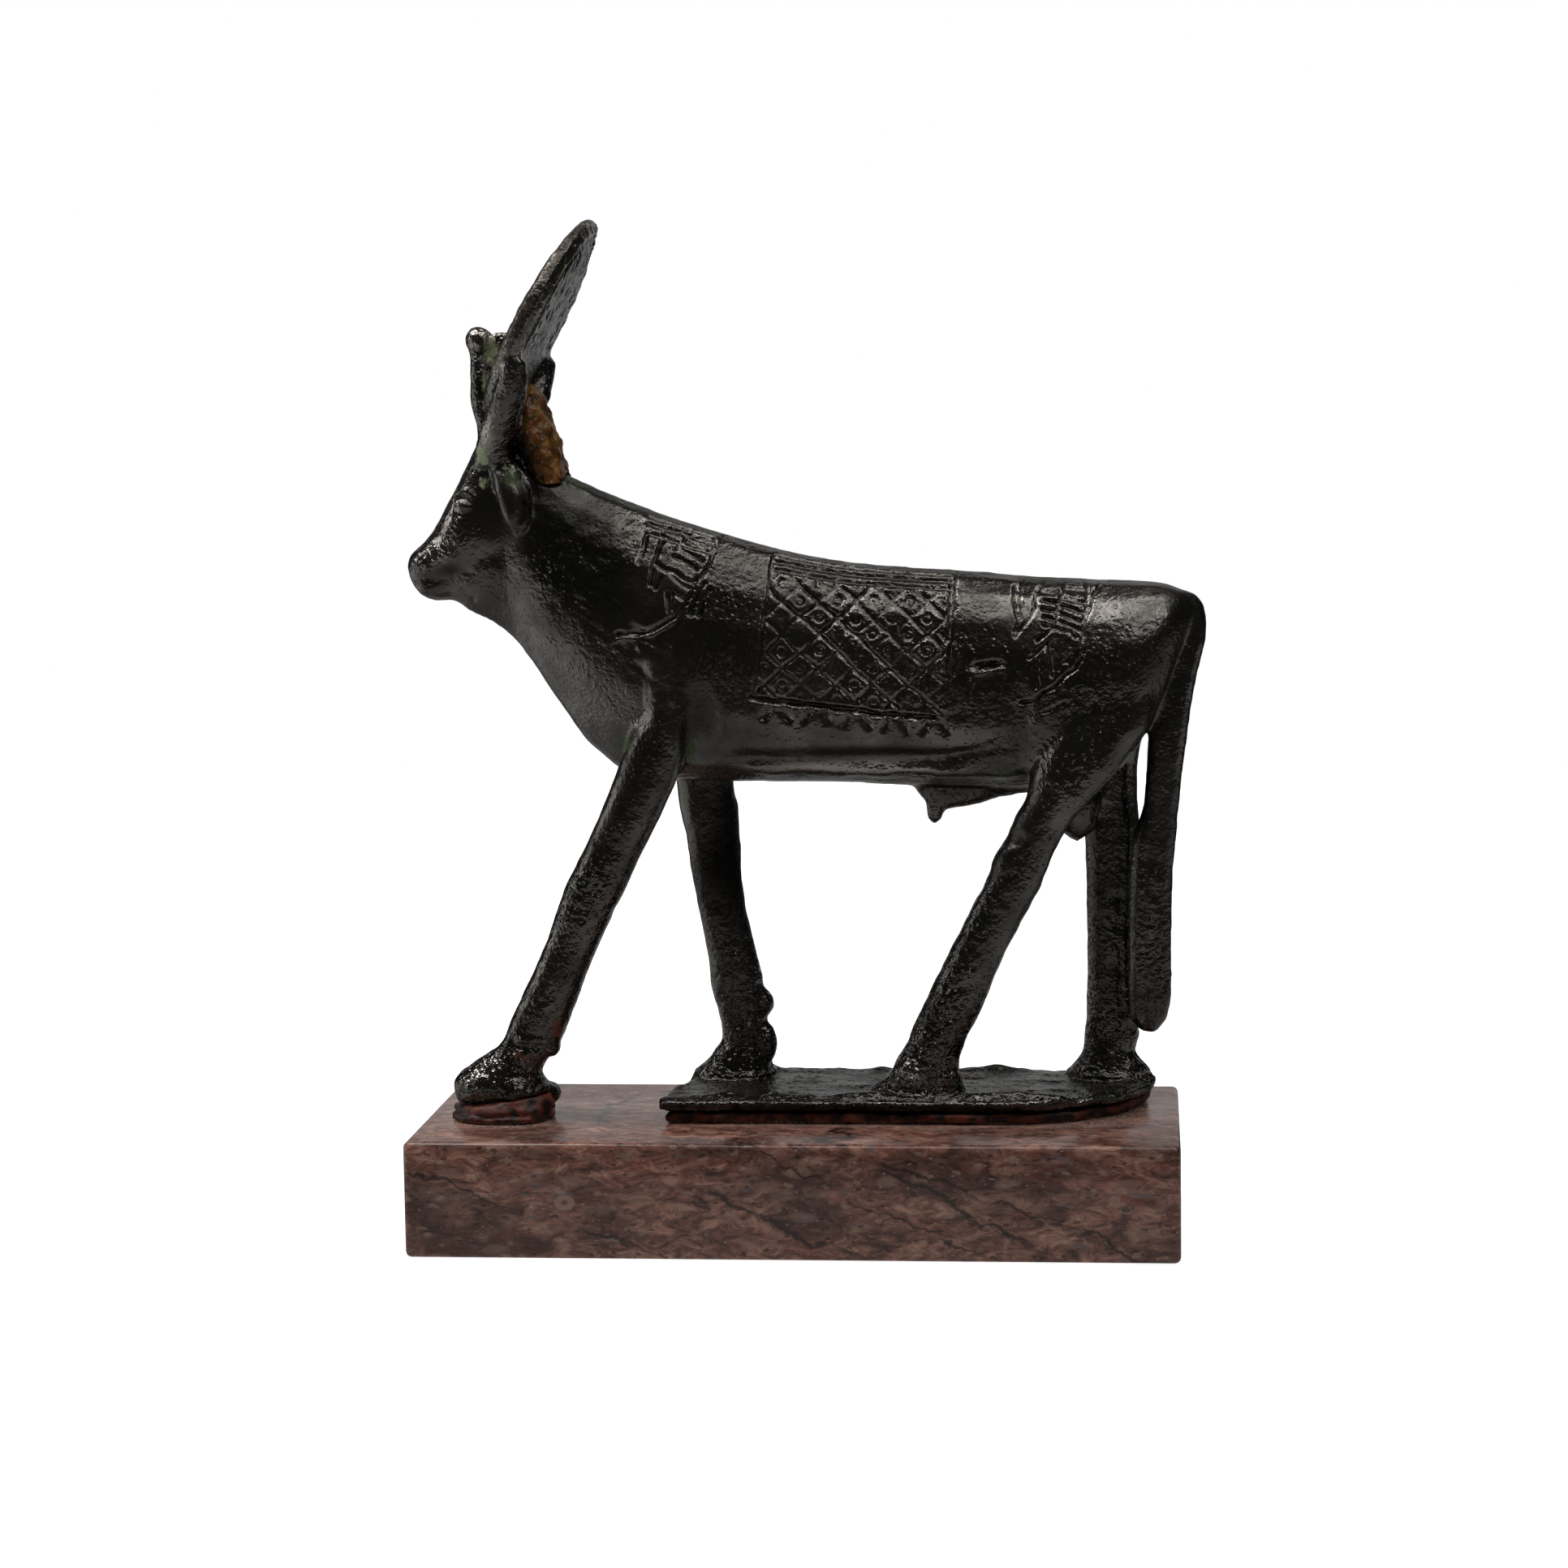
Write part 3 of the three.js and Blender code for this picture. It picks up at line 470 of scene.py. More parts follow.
CHALK = [
    ((-38.0, -1, 93.2), (1.9, 7, 3.4), 0.72), ((-38.7, -1, 89.2), (1.3, 7, 3.2), 0.56),
    ((-38.7, -5, 80.4), (1.7, 7, 2.4), 0.74), ((-38.8, -5, 77.0), (1.4, 6, 1.8), 0.66),
    ((-25.5, -3, 108.4), (1.4, 4, 1.0), 0.5), ((-35.6, -6, 78.9), (1.5, 6, 1.0), 0.6),
    ((-37.6, -6, 85.6), (0.9, 6, 2.6), 0.52),
]
RUST = [
    ((-34.6, -9, 5.2), (2.8, 5, 1.3), 0.46), ((-30.4, -8, 8.6), (1.4, 4, 3.4), 0.46),
    ((-36.4, -9, 1.6), (1.2, 4, 1.0), 0.44), ((-33.6, -9, 2.4), (1.0, 4, 2.2), 0.4),
    ((-34.6, -8, 90.4), (1.5, 5, 2.6), 0.5), ((-9, 6, 6.0), (4, 4, 5.0), 0.3),
    ((2.0, -9.5, -0.2), (8.0, 1.6, 0.9), 0.34),
]
# Worn bright metal, which also paints highlights: on the muzzle, the cobra's ball, the horn, the hooves,
# the plate and a bright line along the belly
BARE_AND_HIGHLIGHT = [
    ((-45.6, -3, 68.8), (3.4, 6, 3.0), 1.0), ((-39.3, -1, 95.0), (2.2, 4, 2.1), 1.0),
    ((-42.8, -3, 73.0), (2.0, 4, 4.8), 0.6), ((-16.4, -9, 53.0), (2.0, 6, 6.0), 0.1),
    ((14.0, -9, 3.4), (2.2, 5, 2.0), 0.9), ((-39.5, -9, 3.6), (4.0, 5, 3.0), 0.6),
    ((-37.6, -8, 83.5), (1.2, 5, 4.6), 0.6), ((-36.1, -8, 91.0), (0.7, 4, 2.2), 0.7),
    ((29.0, -9, -0.5), (12.0, 4, 1.2), 0.3), ((-37.4, 0, 88.0), (1.0, 4, 6.0), 0.3),
    ((8.0, -8, 41.2), (19.0, 7, 1.1), 1.0),
]
# Painted sheen: patches where the metal is made to reflect more, on the chest, rump, belly and flank
PAINTED_SHEEN = [
    ((-24.0, -8, 53.0), (8.0, 9, 10.0), 0.6), ((40.5, -8, 60.5), (8.0, 9, 6.0), 0.7),
    ((10.0, -9, 45.0), (22.0, 8, 6.0), 0.45), ((33.0, -9, 40.0), (8.0, 8, 12.0), 0.3),
    ((-33.0, -9, 24.0), (9.0, 8, 18.0), 0.25), ((8.0, -10, 54.0), (17.0, 8, 8.0), 0.35),
]
# Painted shade: places darkened with the dirt colour where shade falls, on the neck behind the ear, the
# elbow, the far legs, under the rump and belly, the mouth and the plate's near side
PAINTED_SHADE = [
    ((-27.0, -6, 70.5), (9.0, 8, 5.0), 0.55), ((-13.0, -7, 50.0), (5.0, 7, 8.0), 0.5),
    ((-33.0, -6, 74.6), (1.6, 3, 4.0), 0.8), ((-9.0, 6, 28.0), (9.0, 9, 17.0), 0.85),
    ((40.0, 5, 25.0), (7.0, 5, 16.0), 0.3), ((-33.6, -6, 82.0), (1.4, 5, 4.5), 0.6),
    ((22.0, -4, 38.0), (12.0, 6, 4.0), 0.35), ((41.0, -7, 54.0), (8.0, 7, 4.0), 0.4),
    ((10.0, -9, 43.3), (19.0, 7, 1.2), 0.8), ((-43.4, -5, 66.0), (2.4, 5, 1.5), 0.55),
    ((12.0, -10.6, -1.1), (36.0, 1.8, 0.9), 0.6),
]


def patches(places, spots):
    """Strength of the strongest patch at each place."""
    strongest = np.zeros(len(places))
    for middle, half, strength in spots:
        strongest = np.maximum(strongest, strength * spot(places, np.array(middle), np.array(half)))
    return strongest


# Surface of the casting

def unevenness(places):
    """Broad and small uneven places of a casting worked by hand."""
    z = places[:, 2]
    limbs = span(z, -1, 1, 36, 42)
    broad = lumps(places, 7.0, 1) + (0.5 + 0.9 * limbs) * lumps(places, 2.9, 2)
    fine = (0.35 + 0.3 * limbs) * lumps(places, 1.3, 3) + 0.2 * lumps(places, 0.7, 4)
    return broad * 0.7 + fine


def roughness_share(places):
    """Where the surface is most corroded: headdress, feet, plate and neck."""
    x, y, z = places.T
    share = 0.24 + 0.35 * lumps(places, 9.0, 7)
    share += 0.4 * step(z, 76, 82) + 0.5 * step(z, 12, 4) + 0.3 * step(z, 38, 24)
    share += 0.4 * spot(places, (-46, 0, 69), (7, 9, 7))
    share += 0.5 * spot(places, (-27, 0, 67), (10, 14, 7))
    share += 0.3 * spot(places, (38, 5, 25), (6, 6, 24))
    return np.clip(share, 0, 1)


# The disc: its radius, the radius of the crest round its back, its tilt, and where it
# springs from the head in the side view.
DISC_RADIUS = 13.5
DISC_CREST = 12.5
DISC_TILT = math.radians(28.8)
DISC_FOOT = (-38.1, 85.4)


def disc_place(places):
    """Places along the disc's height, through its thickness, and out from its middle."""
    lift_x, lift_z = math.sin(DISC_TILT), math.cos(DISC_TILT)
    x, z = places[:, 0] - DISC_FOOT[0], places[:, 2] - DISC_FOOT[1]
    along = x * lift_x + z * lift_z
    return along, x * lift_z - z * lift_x, np.hypot(along - DISC_RADIUS, places[:, 1])


def disc_relief(places, normals):
    """The sun disc's back: bevelled round its rim, and pitted along its height."""
    lift_x, lift_z = math.sin(DISC_TILT), math.cos(DISC_TILT)
    y, z = places[:, 1], places[:, 2]
    along, through, radius = disc_place(places)
    on_disc = (radius < 14.4) * (np.abs(through) < 2.0) * step(z, 92, 95)
    facing = normals[:, 0] * lift_z - normals[:, 2] * lift_x
    back = on_disc * step(facing, 0.3, 0.6)
    near = step(y, 1.0, -2.0)
    crest = ridge(radius, DISC_CREST, 0.5) * step(through, 0.4, 0.9)
    height = 0.3 * on_disc * crest * near - 0.45 * back * ridge(radius, DISC_CREST - 1.3, 0.7)
    height -= back * (0.25 + 0.65 * (1 - near)) * step(radius, 10.4, 13.2)
    stretched = np.stack([along / 2.4, y, through], axis=1)
    inner = step(radius, 11.5, 10)
    height -= 0.3 * back * pits(stretched, 0.9, 0.8, 51) * (0.35 + 0.65 * inner)
    return height


PLATE_FRONT = -18.5


def plate_relief(places, normals):
    """The ground plate: a thick uneven lip round its edge, streaks, a broken end."""
    x, y, z = places.T
    plate = (z < 1.2) & (x > PLATE_FRONT)
    heavy = 0.3 + 0.35 * step(x, 4, 16)
    edge = ridge(np.abs(y), 9.0, 0.9) * step(normals[:, 2], 0.3, 0.7)
    height = edge * (0.4 + heavy * lumps(places, 3.0, 62)) * step(x, 43, 39)
    rim = step(np.abs(normals[:, 2]), 0.75, 0.4)
    height += rim * (0.25 + heavy * lumps(places * np.array([0.6, 1, 1.4]), 2.2, 63))
    streaks = lumps(places * np.array([0.22, 1.2, 1.0]), 1.2, 61)
    height += 0.14 * streaks * step(normals[:, 2], 0.5, 0.9)
    height += 0.35 * lumps(places, 1.6, 64) * step(x, -13, -16)
    return height * plate * step(z, 1.2, 0.5)


def smoothed(points, edges, weights, rounds):
    """Low-pass smoothing that takes out facets and keeps the volume."""
    a, b = edges.T
    count = len(points)
    neighbours = np.bincount(a, minlength=count) + np.bincount(b, minlength=count)
    for _ in range(rounds):
        for factor in (0.6307, -0.6732):
            total = np.empty_like(points)
            for axis in range(3):
                total[:, axis] = np.bincount(a, points[b, axis], count)
                total[:, axis] += np.bincount(b, points[a, axis], count)
            middle = total / neighbours[:, None]
            points = points + factor * weights[:, None] * (middle - points)
    return points


def mesh_arrays(mesh):
    """Points, edges and point normals of a mesh."""
    points = np.empty(len(mesh.vertices) * 3)
    mesh.vertices.foreach_get("co", points)
    edges = np.empty(len(mesh.edges) * 2, dtype=int)
    mesh.edges.foreach_get("vertices", edges)
    normals = np.empty(len(mesh.vertices) * 3)
    mesh.vertex_normals.foreach_get("vector", normals)
    return points.reshape(-1, 3), edges.reshape(-1, 2), normals.reshape(-1, 3)


def put_points(mesh, points):
    mesh.vertices.foreach_set("co", points.ravel())
    mesh.update()


def placed(name, data):
    """A new object in the scene for a mesh, a light or the camera."""
    holder = bpy.data.objects.new(name, data)
    bpy.context.scene.collection.objects.link(holder)
    return holder


def as_object(name, work):
    """An object whose mesh is the finished bmesh."""
    mesh = bpy.data.meshes.new(name)
    work.to_mesh(mesh)
    work.free()
    return placed(name, mesh)


def finish_modifiers(piece):
    """Puts the result of a piece's modifiers in its mesh."""
    depsgraph = bpy.context.evaluated_depsgraph_get()
    mesh = bpy.data.meshes.new_from_object(piece.evaluated_get(depsgraph))
    old = piece.data
    piece.modifiers.clear()
    piece.data = mesh
    bpy.data.meshes.remove(old)
    return mesh


def copy_of_node(node, name):
    """A welded copy of a solid, as the start of the piece that stands for it."""
    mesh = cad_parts[node].data.copy()
    mesh.name = name
    mesh.materials.clear()
    piece = placed(name, mesh)
    welded = bmesh.new()
    welded.from_mesh(mesh)
    bmesh.ops.remove_doubles(welded, verts=welded.verts, dist=WELD)
    welded.to_mesh(mesh)
    welded.free()
    return piece


def remeshed(piece, voxel):
    """One even skin over the whole piece."""
    skin = piece.modifiers.new("skin", "REMESH")
    skin.mode = "VOXEL"
    skin.voxel_size = voxel
    return finish_modifiers(piece)


def refined(piece, levels):
    """Each face divided in four, as often as `levels` says."""
    finer = piece.modifiers.new("finer", "SUBSURF")
    finer.levels = levels
    finer.render_levels = levels
    return finish_modifiers(piece)


def thinned(piece, triangles):
    """Fewer faces where the surface is calm, down to a number of triangles."""
    count = sum(len(face.vertices) - 2 for face in piece.data.polygons)
    if count > triangles:
        thin = piece.modifiers.new("thin", "DECIMATE")
        thin.ratio = triangles / count
        finish_modifiers(piece)
    return piece.data


def mark(mesh, name, values):
    """Keeps a value from 0 to 1 at each point, for the material to read."""
    layer = mesh.attributes.new(name, "FLOAT", "POINT")
    layer.data.foreach_set("value", np.clip(values, 0, 1).astype("float32"))


def place_in_figure(points):
    """Places in the figure's own millimetres."""
    return points / MM - FIGURE


def complete(piece, node, material):
    """Gives a piece its material and smooth shading, hides the solid it stands for, and hangs the piece
    under the root body.
    """
    piece.data.materials.append(material)
    piece.data.shade_smooth()
    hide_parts(node)
    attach(piece, "root")


# Materials

def linear(code):
    """Linear colour of an sRGB hex value."""
    channels = [int(code[i:i + 2], 16) / 255 for i in (1, 3, 5)]
    bright = [c / 12.92 if c <= 0.04045 else ((c + 0.055) / 1.055) ** 2.4 for c in channels]
    return (*bright, 1.0)


def add(tree, kind, sockets=None, **settings):
    """Adds a node with its settings, and its sockets' values or links."""
    node = tree.nodes.new(kind)
    for name, value in settings.items():
        setattr(node, name, value)
    for socket, value in (sockets or {}).items():
        if isinstance(value, bpy.types.NodeSocket):
            tree.links.new(value, node.inputs[socket])
        else:
            node.inputs[socket].default_value = value
    return node


def new_material(name):
    material = bpy.data.materials.new(name)
    material.use_nodes = True
    tree = material.node_tree
    tree.nodes.clear()
    shader = add(tree, "ShaderNodeBsdfPrincipled")
    add(tree, "ShaderNodeOutputMaterial", {"Surface": shader.outputs["BSDF"]})
    coords = add(tree, "ShaderNodeTexCoord").outputs["Object"]
    return material, tree, shader, coords


def per_mm(size):
    """Texture scale on coordinates in metres for a feature of `size` millimetres."""
    return 1 / (size * MM)


def patinated_bronze():
    """Cast bronze under a dark waxed oxide: it reflects little, most on the high places
    that hands have rubbed and next to nothing in the soiled hollows, with painted sheen,
    painted highlights and painted shade in places. The patches of brown, green and red
    corrosion over it are dull and don't reflect as metal does."""
    material, tree, shader, coords = new_material("patinated_bronze")
    marks = {}
    for name in ("tone_and_painted_light", "bare", "rubbed", "hollow", "crinkled", "brown", "green", "rust", "chalk"):
        marks[name] = add(tree, "ShaderNodeAttribute", attribute_name=name).outputs["Fac"]
    cloud = add(tree, "ShaderNodeTexNoise", {"Vector": coords, "Scale": per_mm(6), "Detail": 6.0})
    grain = add(tree, "ShaderNodeTexNoise", {
        "Vector": coords, "Scale": per_mm(1.0), "Detail": 2.0, "Roughness": 0.55})
    fleck = add(tree, "ShaderNodeTexNoise", {
        "Vector": coords, "Scale": per_mm(0.5), "Detail": 3.0, "Roughness": 0.6})
    speck = add(tree, "ShaderNodeTexVoronoi", {"Vector": coords, "Scale": per_mm(0.8)})
    cloud, grain, fleck = (noise.outputs["Fac"] for noise in (cloud, grain, fleck))

    metal = metal_colour(tree, marks, cloud)
    colour, bare = corroded_colour(tree, marks, fleck, metal)
    tree.links.new(colour, shader.inputs["Base Color"])
    tree.links.new(bare, shader.inputs["Metallic"])
    tree.links.new(bronze_roughness(tree, marks, cloud, bare), shader.inputs["Roughness"])

    pocks = add(tree, "ShaderNodeMapRange", {
        "Value": speck.outputs["Distance"], "From Min": 0.05, "From Max": 0.32,
        "To Max": 0.4}).outputs[0]
    folds = add(tree, "ShaderNodeMath", {0: grain, 1: pocks}, operation="ADD").outputs[0]
    folds = add(tree, "ShaderNodeMath", {0: folds, 1: -0.9}, operation="ADD").outputs[0]
    amount = add(tree, "ShaderNodeMath", {0: marks["crinkled"], 1: 1.0, 2: 0.14},
                 operation="MULTIPLY_ADD").outputs[0]
    height = add(tree, "ShaderNodeMath", {0: folds, 1: amount}, operation="MULTIPLY").outputs[0]
    height = add(tree, "ShaderNodeMath", {0: fleck, 1: 0.1, 2: height},
                 operation="MULTIPLY_ADD").outputs[0]
    bump = add(tree, "ShaderNodeBump", {"Height": height, "Strength": 0.8, "Distance": 0.0004})
    tree.links.new(bump.outputs["Normal"], shader.inputs["Normal"])
    return material


def metal_colour(tree, marks, cloud):
    """The waxed oxide: brighter where it is rubbed or bare and where sheen and highlights are painted,
    near black with old wax and soil in the hollows and where shade is painted.
    """
    ink = colours()
    tone_and_painted_light = add(tree, "ShaderNodeMapRange", {
        "Value": cloud, "From Min": 0.35, "From Max": 0.65,
        "To Min": 1.35, "To Max": 2.3}).outputs[0]
    tone_and_painted_light = add(tree, "ShaderNodeMath", {0: marks["tone_and_painted_light"], 1: tone_and_painted_light}, operation="MULTIPLY").outputs[0]
    # Rubbed and bare places reflect more; the bare mark also carries painted highlights
    for value, share in ((marks["rubbed"], 0.6), (marks["bare"], 2.6)):
        tone_and_painted_light = add(tree, "ShaderNodeMath", {0: value, 1: share, 2: tone_and_painted_light},
                    operation="MULTIPLY_ADD").outputs[0]
    colour = add(tree, "ShaderNodeMix", {0: 1.0, 6: linear(ink.patina), 7: tone_and_painted_light},
                 data_type="RGBA", blend_type="MULTIPLY").outputs[2]
    # Near black with dirt in the hollows, and where the hollow mark carries painted shade
    return add(tree, "ShaderNodeMix", {0: marks["hollow"], 6: colour, 7: linear(ink.dirt_and_shade)},
               data_type="RGBA").outputs[2]


def corroded_colour(tree, marks, fleck, colour):
    """Broken patches of corrosion over the metal, and how much of it they leave bare."""
    ink = colours()
    bare = 1.0
    for name, code, low, high in (
            ("brown", ink.brown, 0.85, 1.45), ("green", ink.green, 0.88, 1.0),
            ("rust", ink.rust, 0.88, 1.02), ("chalk", ink.chalk, 0.95, 1.15)):
        broken = add(tree, "ShaderNodeMath", {0: marks[name], 1: fleck}, operation="ADD").outputs[0]
        share = add(tree, "ShaderNodeMapRange", {
            "Value": broken, "From Min": low, "From Max": high}).outputs[0]
        colour = add(tree, "ShaderNodeMix", {0: share, 6: colour, 7: linear(code)},
                     data_type="RGBA").outputs[2]
        left = add(tree, "ShaderNodeMath", {0: 1.0, 1: share}, operation="SUBTRACT").outputs[0]
        bare = add(tree, "ShaderNodeMath", {0: bare, 1: left}, operation="MULTIPLY").outputs[0]
    return colour, bare


def bronze_roughness(tree, marks, cloud, bare):
    """Waxed and rubbed places are smooth; soiled hollows, the painted shade patches and corrosion are
    dull.
    """
    rough = add(tree, "ShaderNodeMapRange", {
        "Value": cloud, "From Min": 0.35, "From Max": 0.65,
        "To Min": 0.38, "To Max": 0.26}).outputs[0]
    for value, share in ((marks["rubbed"], -0.1), (marks["crinkled"], -0.12), (marks["bare"], -0.1),
                         (marks["hollow"], 0.25), (bare, -0.25)):
        rough = add(tree, "ShaderNodeMath", {0: value, 1: share, 2: rough},
                    operation="MULTIPLY_ADD").outputs[0]
    return add(tree, "ShaderNodeMath", {0: rough, 1: 0.25}, operation="ADD").outputs[0]


def oil_putty():
    """Dark red oil putty, pressed and smeared, with pale dust caught along its foot."""
    material, tree, shader, coords = new_material("oil_putty")
    smear = add(tree, "ShaderNodeTexNoise", {"Vector": coords, "Scale": per_mm(1.6), "Detail": 4.0})
    grain = add(tree, "ShaderNodeTexNoise", {"Vector": coords, "Scale": per_mm(0.25), "Detail": 3.0})
    dust = add(tree, "ShaderNodeAttribute", attribute_name="dust").outputs["Fac"]
    dusty = add(tree, "ShaderNodeMath", {0: dust, 1: grain.outputs["Fac"]}, operation="ADD")
    dusty = add(tree, "ShaderNodeMapRange", {
        "Value": dusty.outputs[0], "From Min": 0.95, "From Max": 1.3}).outputs[0]
    smeared = add(tree, "ShaderNodeMapRange", {
        "Value": smear.outputs["Fac"], "From Min": 0.4, "From Max": 0.62}).outputs[0]
    red = add(tree, "ShaderNodeMix", {
        0: smeared, 6: linear("#140805"), 7: linear(colours().putty)}, data_type="RGBA")
    colour = add(tree, "ShaderNodeMix", {0: dusty, 6: red.outputs[2], 7: linear("#b9a899")},
                 data_type="RGBA").outputs[2]
    tree.links.new(colour, shader.inputs["Base Color"])
    bump = add(tree, "ShaderNodeBump", {
        "Height": smear.outputs["Fac"], "Strength": 0.7, "Distance": 0.0005})
    tree.links.new(bump.outputs["Normal"], shader.inputs["Normal"])
    shader.inputs["Roughness"].default_value = 0.5
    return material


def earth_fill():
    """Ochre wax and earth fill with coarse sugary grains, some amber, some pale."""
    material, tree, shader, coords = new_material("earth_fill")
    cloud = add(tree, "ShaderNodeTexNoise", {"Vector": coords, "Scale": per_mm(1.8), "Detail": 5.0})
    grain = add(tree, "ShaderNodeTexVoronoi", {"Vector": coords, "Scale": per_mm(0.5)})
    ramp = add(tree, "ShaderNodeValToRGB", {"Fac": cloud.outputs["Fac"]})
    ramp.color_ramp.elements[0].position = 0.32
    ramp.color_ramp.elements[0].color = linear("#2a1707")
    ramp.color_ramp.elements[1].position = 0.68
    ramp.color_ramp.elements[1].color = linear("#a8783c")
    middle = ramp.color_ramp.elements.new(0.52)
    middle.color = linear(colours().ochre)
    tint = add(tree, "ShaderNodeMix", {
        0: 0.35, 6: ramp.outputs["Color"], 7: grain.outputs["Color"]},
        data_type="RGBA", blend_type="SOFT_LIGHT").outputs[2]
    # Painted shade: the fill is darkened to near black where it meets the horn
    painted_shade_by_horn = add(tree, "ShaderNodeAttribute", attribute_name="painted_shade_by_horn").outputs["Fac"]
    tint = add(tree, "ShaderNodeMix", {0: painted_shade_by_horn, 6: tint, 7: linear("#0d0c08")},
               data_type="RGBA").outputs[2]
    tree.links.new(tint, shader.inputs["Base Color"])
    bump = add(tree, "ShaderNodeBump", {
        "Height": grain.outputs["Distance"], "Strength": 0.7, "Distance": 0.0002})
    tree.links.new(bump.outputs["Normal"], shader.inputs["Normal"])
    shader.inputs["Roughness"].default_value = 0.38
    return material


def polished_limestone():
    """Red-brown fossil limestone, sawn and polished: a fine shelly ground in bands
    that dip to the right, dark stylolite seams, and a soft gloss under some dust."""
    material, tree, shader, coords = new_material("polished_limestone")
    tilted = add(tree, "ShaderNodeMapping", {
        "Vector": coords, "Rotation": (0, math.radians(26), 0), "Scale": (0.6, 1.0, 1.3)})
    tilted = tilted.outputs["Vector"]
    noise = {}
    for name, place, size, detail, rough, bent in (
            ("ground", tilted, 2.0, 9.0, 0.75, 0.8), ("bands", tilted, 14, 3.0, 0.6, 0.0),
            ("red", tilted, 5, 3.0, 0.6, 0.0), ("warp", tilted, 1.6, 3.0, 0.6, 0.0),
            ("arcs", tilted, 2.5, 2.0, 0.6, 0.0), ("breaks", tilted, 7, 2.0, 0.6, 0.0),
            ("scuff", tilted, 3.0, 6.0, 0.6, 0.0), ("wander", coords, 5, 5.0, 0.6, 0.0),
            ("dust", coords, 0.35, 3.0, 0.7, 0.0)):
        noise[name] = add(tree, "ShaderNodeTexNoise", {
            "Vector": place, "Scale": per_mm(size), "Detail": detail, "Roughness": rough,
            "Distortion": bent})
    warped = add(tree, "ShaderNodeVectorMath", {
        0: noise["warp"].outputs["Color"], 1: (0.0011, 0.0011, 0.0011), 2: tilted},
        operation="MULTIPLY_ADD").outputs[0]
    fac = {name: node.outputs["Fac"] for name, node in noise.items()}
    shown = {}
    for name, low, high in (("arcs", 0.55, 0.6), ("breaks", 0.42, 0.52), ("dust", 0.42, 0.62)):
        shown[name] = add(tree, "ShaderNodeMapRange", {
            "Value": fac[name], "From Min": low, "From Max": high}).outputs[0]
    axes = add(tree, "ShaderNodeSeparateXYZ", {"Vector": coords})
    stem = lily_stem(tree, axes)

    # Layers over the ground: colour, value, where it starts and is full, how much, and where
    layers = [("#3f2a25", fac["bands"], 0.5, 0.62, 0.7, 1.0)]
    layers.append(("#9c5140", fac["red"], 0.54, 0.7, 0.28, 1.0))
    layers += shell_layers(tree, warped, shown["arcs"])
    layers += seam_layers(tree, axes, fac["wander"], shown["breaks"])
    layers += [("#af8f80", stem, 1.15, 0.8, 0.75, 1.0), ("#553b32", stem, 0.16, 0.06, 0.7, 1.0)]
    for bed in ("plate_bed", "forefoot_bed"):
        layers.append(("#c8aa9c", from_footprint(tree, coords, bed), 0.0026, 0.0003, 0.75, shown["dust"]))

    ramp = add(tree, "ShaderNodeValToRGB", {"Fac": fac["ground"]})
    elements = ramp.color_ramp.elements
    elements[0].position, elements[0].color = 0.37, linear("#4b352d")
    elements[1].position, elements[1].color = 0.64, linear("#cb9c88")
    middle = elements.new(0.5)
    middle.color = linear(colours().stone)
    colour = ramp.outputs["Color"]
    for code, value, low, high, most, where in layers:
        share = add(tree, "ShaderNodeMapRange", {
            "Value": value, "From Min": low, "From Max": high, "To Max": most}).outputs[0]
        share = add(tree, "ShaderNodeMath", {0: share, 1: where}, operation="MULTIPLY").outputs[0]
        colour = add(tree, "ShaderNodeMix", {0: share, 6: colour, 7: linear(code)},
                     data_type="RGBA").outputs[2]
    tree.links.new(colour, shader.inputs["Base Color"])
    scuff = add(tree, "ShaderNodeMapRange", {
        "Value": fac["scuff"], "From Min": 0.3, "From Max": 0.7, "To Min": 0.15, "To Max": 0.3})
    tree.links.new(scuff.outputs[0], shader.inputs["Roughness"])
    shader.inputs["IOR"].default_value = 1.5
    return material


def shell_layers(tree, warped, arcs_shown):
    """Pale and dark shell fragments of four sizes, and the grey rims of larger shells."""
    layers = []
    for size, low, high, code, most in (
            (2.6, 0.46, 0.3, "#9f8070", 0.5), (1.2, 0.42, 0.26, "#bda08e", 0.4),
            (0.8, 0.36, 0.26, "#2c201d", 0.65), (0.6, 0.26, 0.14, "#dcc4b4", 0.4)):
        shell = add(tree, "ShaderNodeTexVoronoi", {"Vector": warped, "Scale": per_mm(size)})
        kept = add(tree, "ShaderNodeSeparateColor", {"Color": shell.outputs["Color"]}).outputs[0]
        kept = add(tree, "ShaderNodeMapRange", {
            "Value": kept, "From Min": 0.62, "From Max": 0.85}).outputs[0]
        layers.append((code, shell.outputs["Distance"], low, high, most, kept))
    arcs = add(tree, "ShaderNodeTexVoronoi", {"Vector": warped, "Scale": per_mm(4.6)})
    ring = add(tree, "ShaderNodeMath", {0: arcs.outputs["Distance"], 1: 0.33}, operation="SUBTRACT")
    ring = add(tree, "ShaderNodeMath", {0: ring.outputs[0]}, operation="ABSOLUTE").outputs[0]
    layers.append(("#716869", ring, 0.07, 0.03, 0.7, arcs_shown))
    return layers


def seam_layers(tree, axes, wander, breaks_shown):
    """Dark stylolite seams that wander and break off: slope, height and width of each."""
    layers = []
    for slope, height, width in (
            (0.42, 0.0070, 0.00028), (0.52, 0.0205, 0.00024), (0.34, -0.0020, 0.00014),
            (0.47, 0.0145, 0.00013), (0.36, 0.0195, 0.0002)):
        dipping = add(tree, "ShaderNodeMath", {
            0: axes.outputs["X"], 1: slope, 2: axes.outputs["Z"]}, operation="MULTIPLY_ADD").outputs[0]
        dipping = add(tree, "ShaderNodeMath", {0: wander, 1: 0.006, 2: dipping},
                      operation="MULTIPLY_ADD").outputs[0]
        away = add(tree, "ShaderNodeMath", {0: dipping, 1: height}, operation="SUBTRACT").outputs[0]
        away = add(tree, "ShaderNodeMath", {0: away}, operation="ABSOLUTE").outputs[0]
        layers.append(("#2a1f1c", away, width * 2.2, width * 0.4, 0.85, breaks_shown))
    return layers


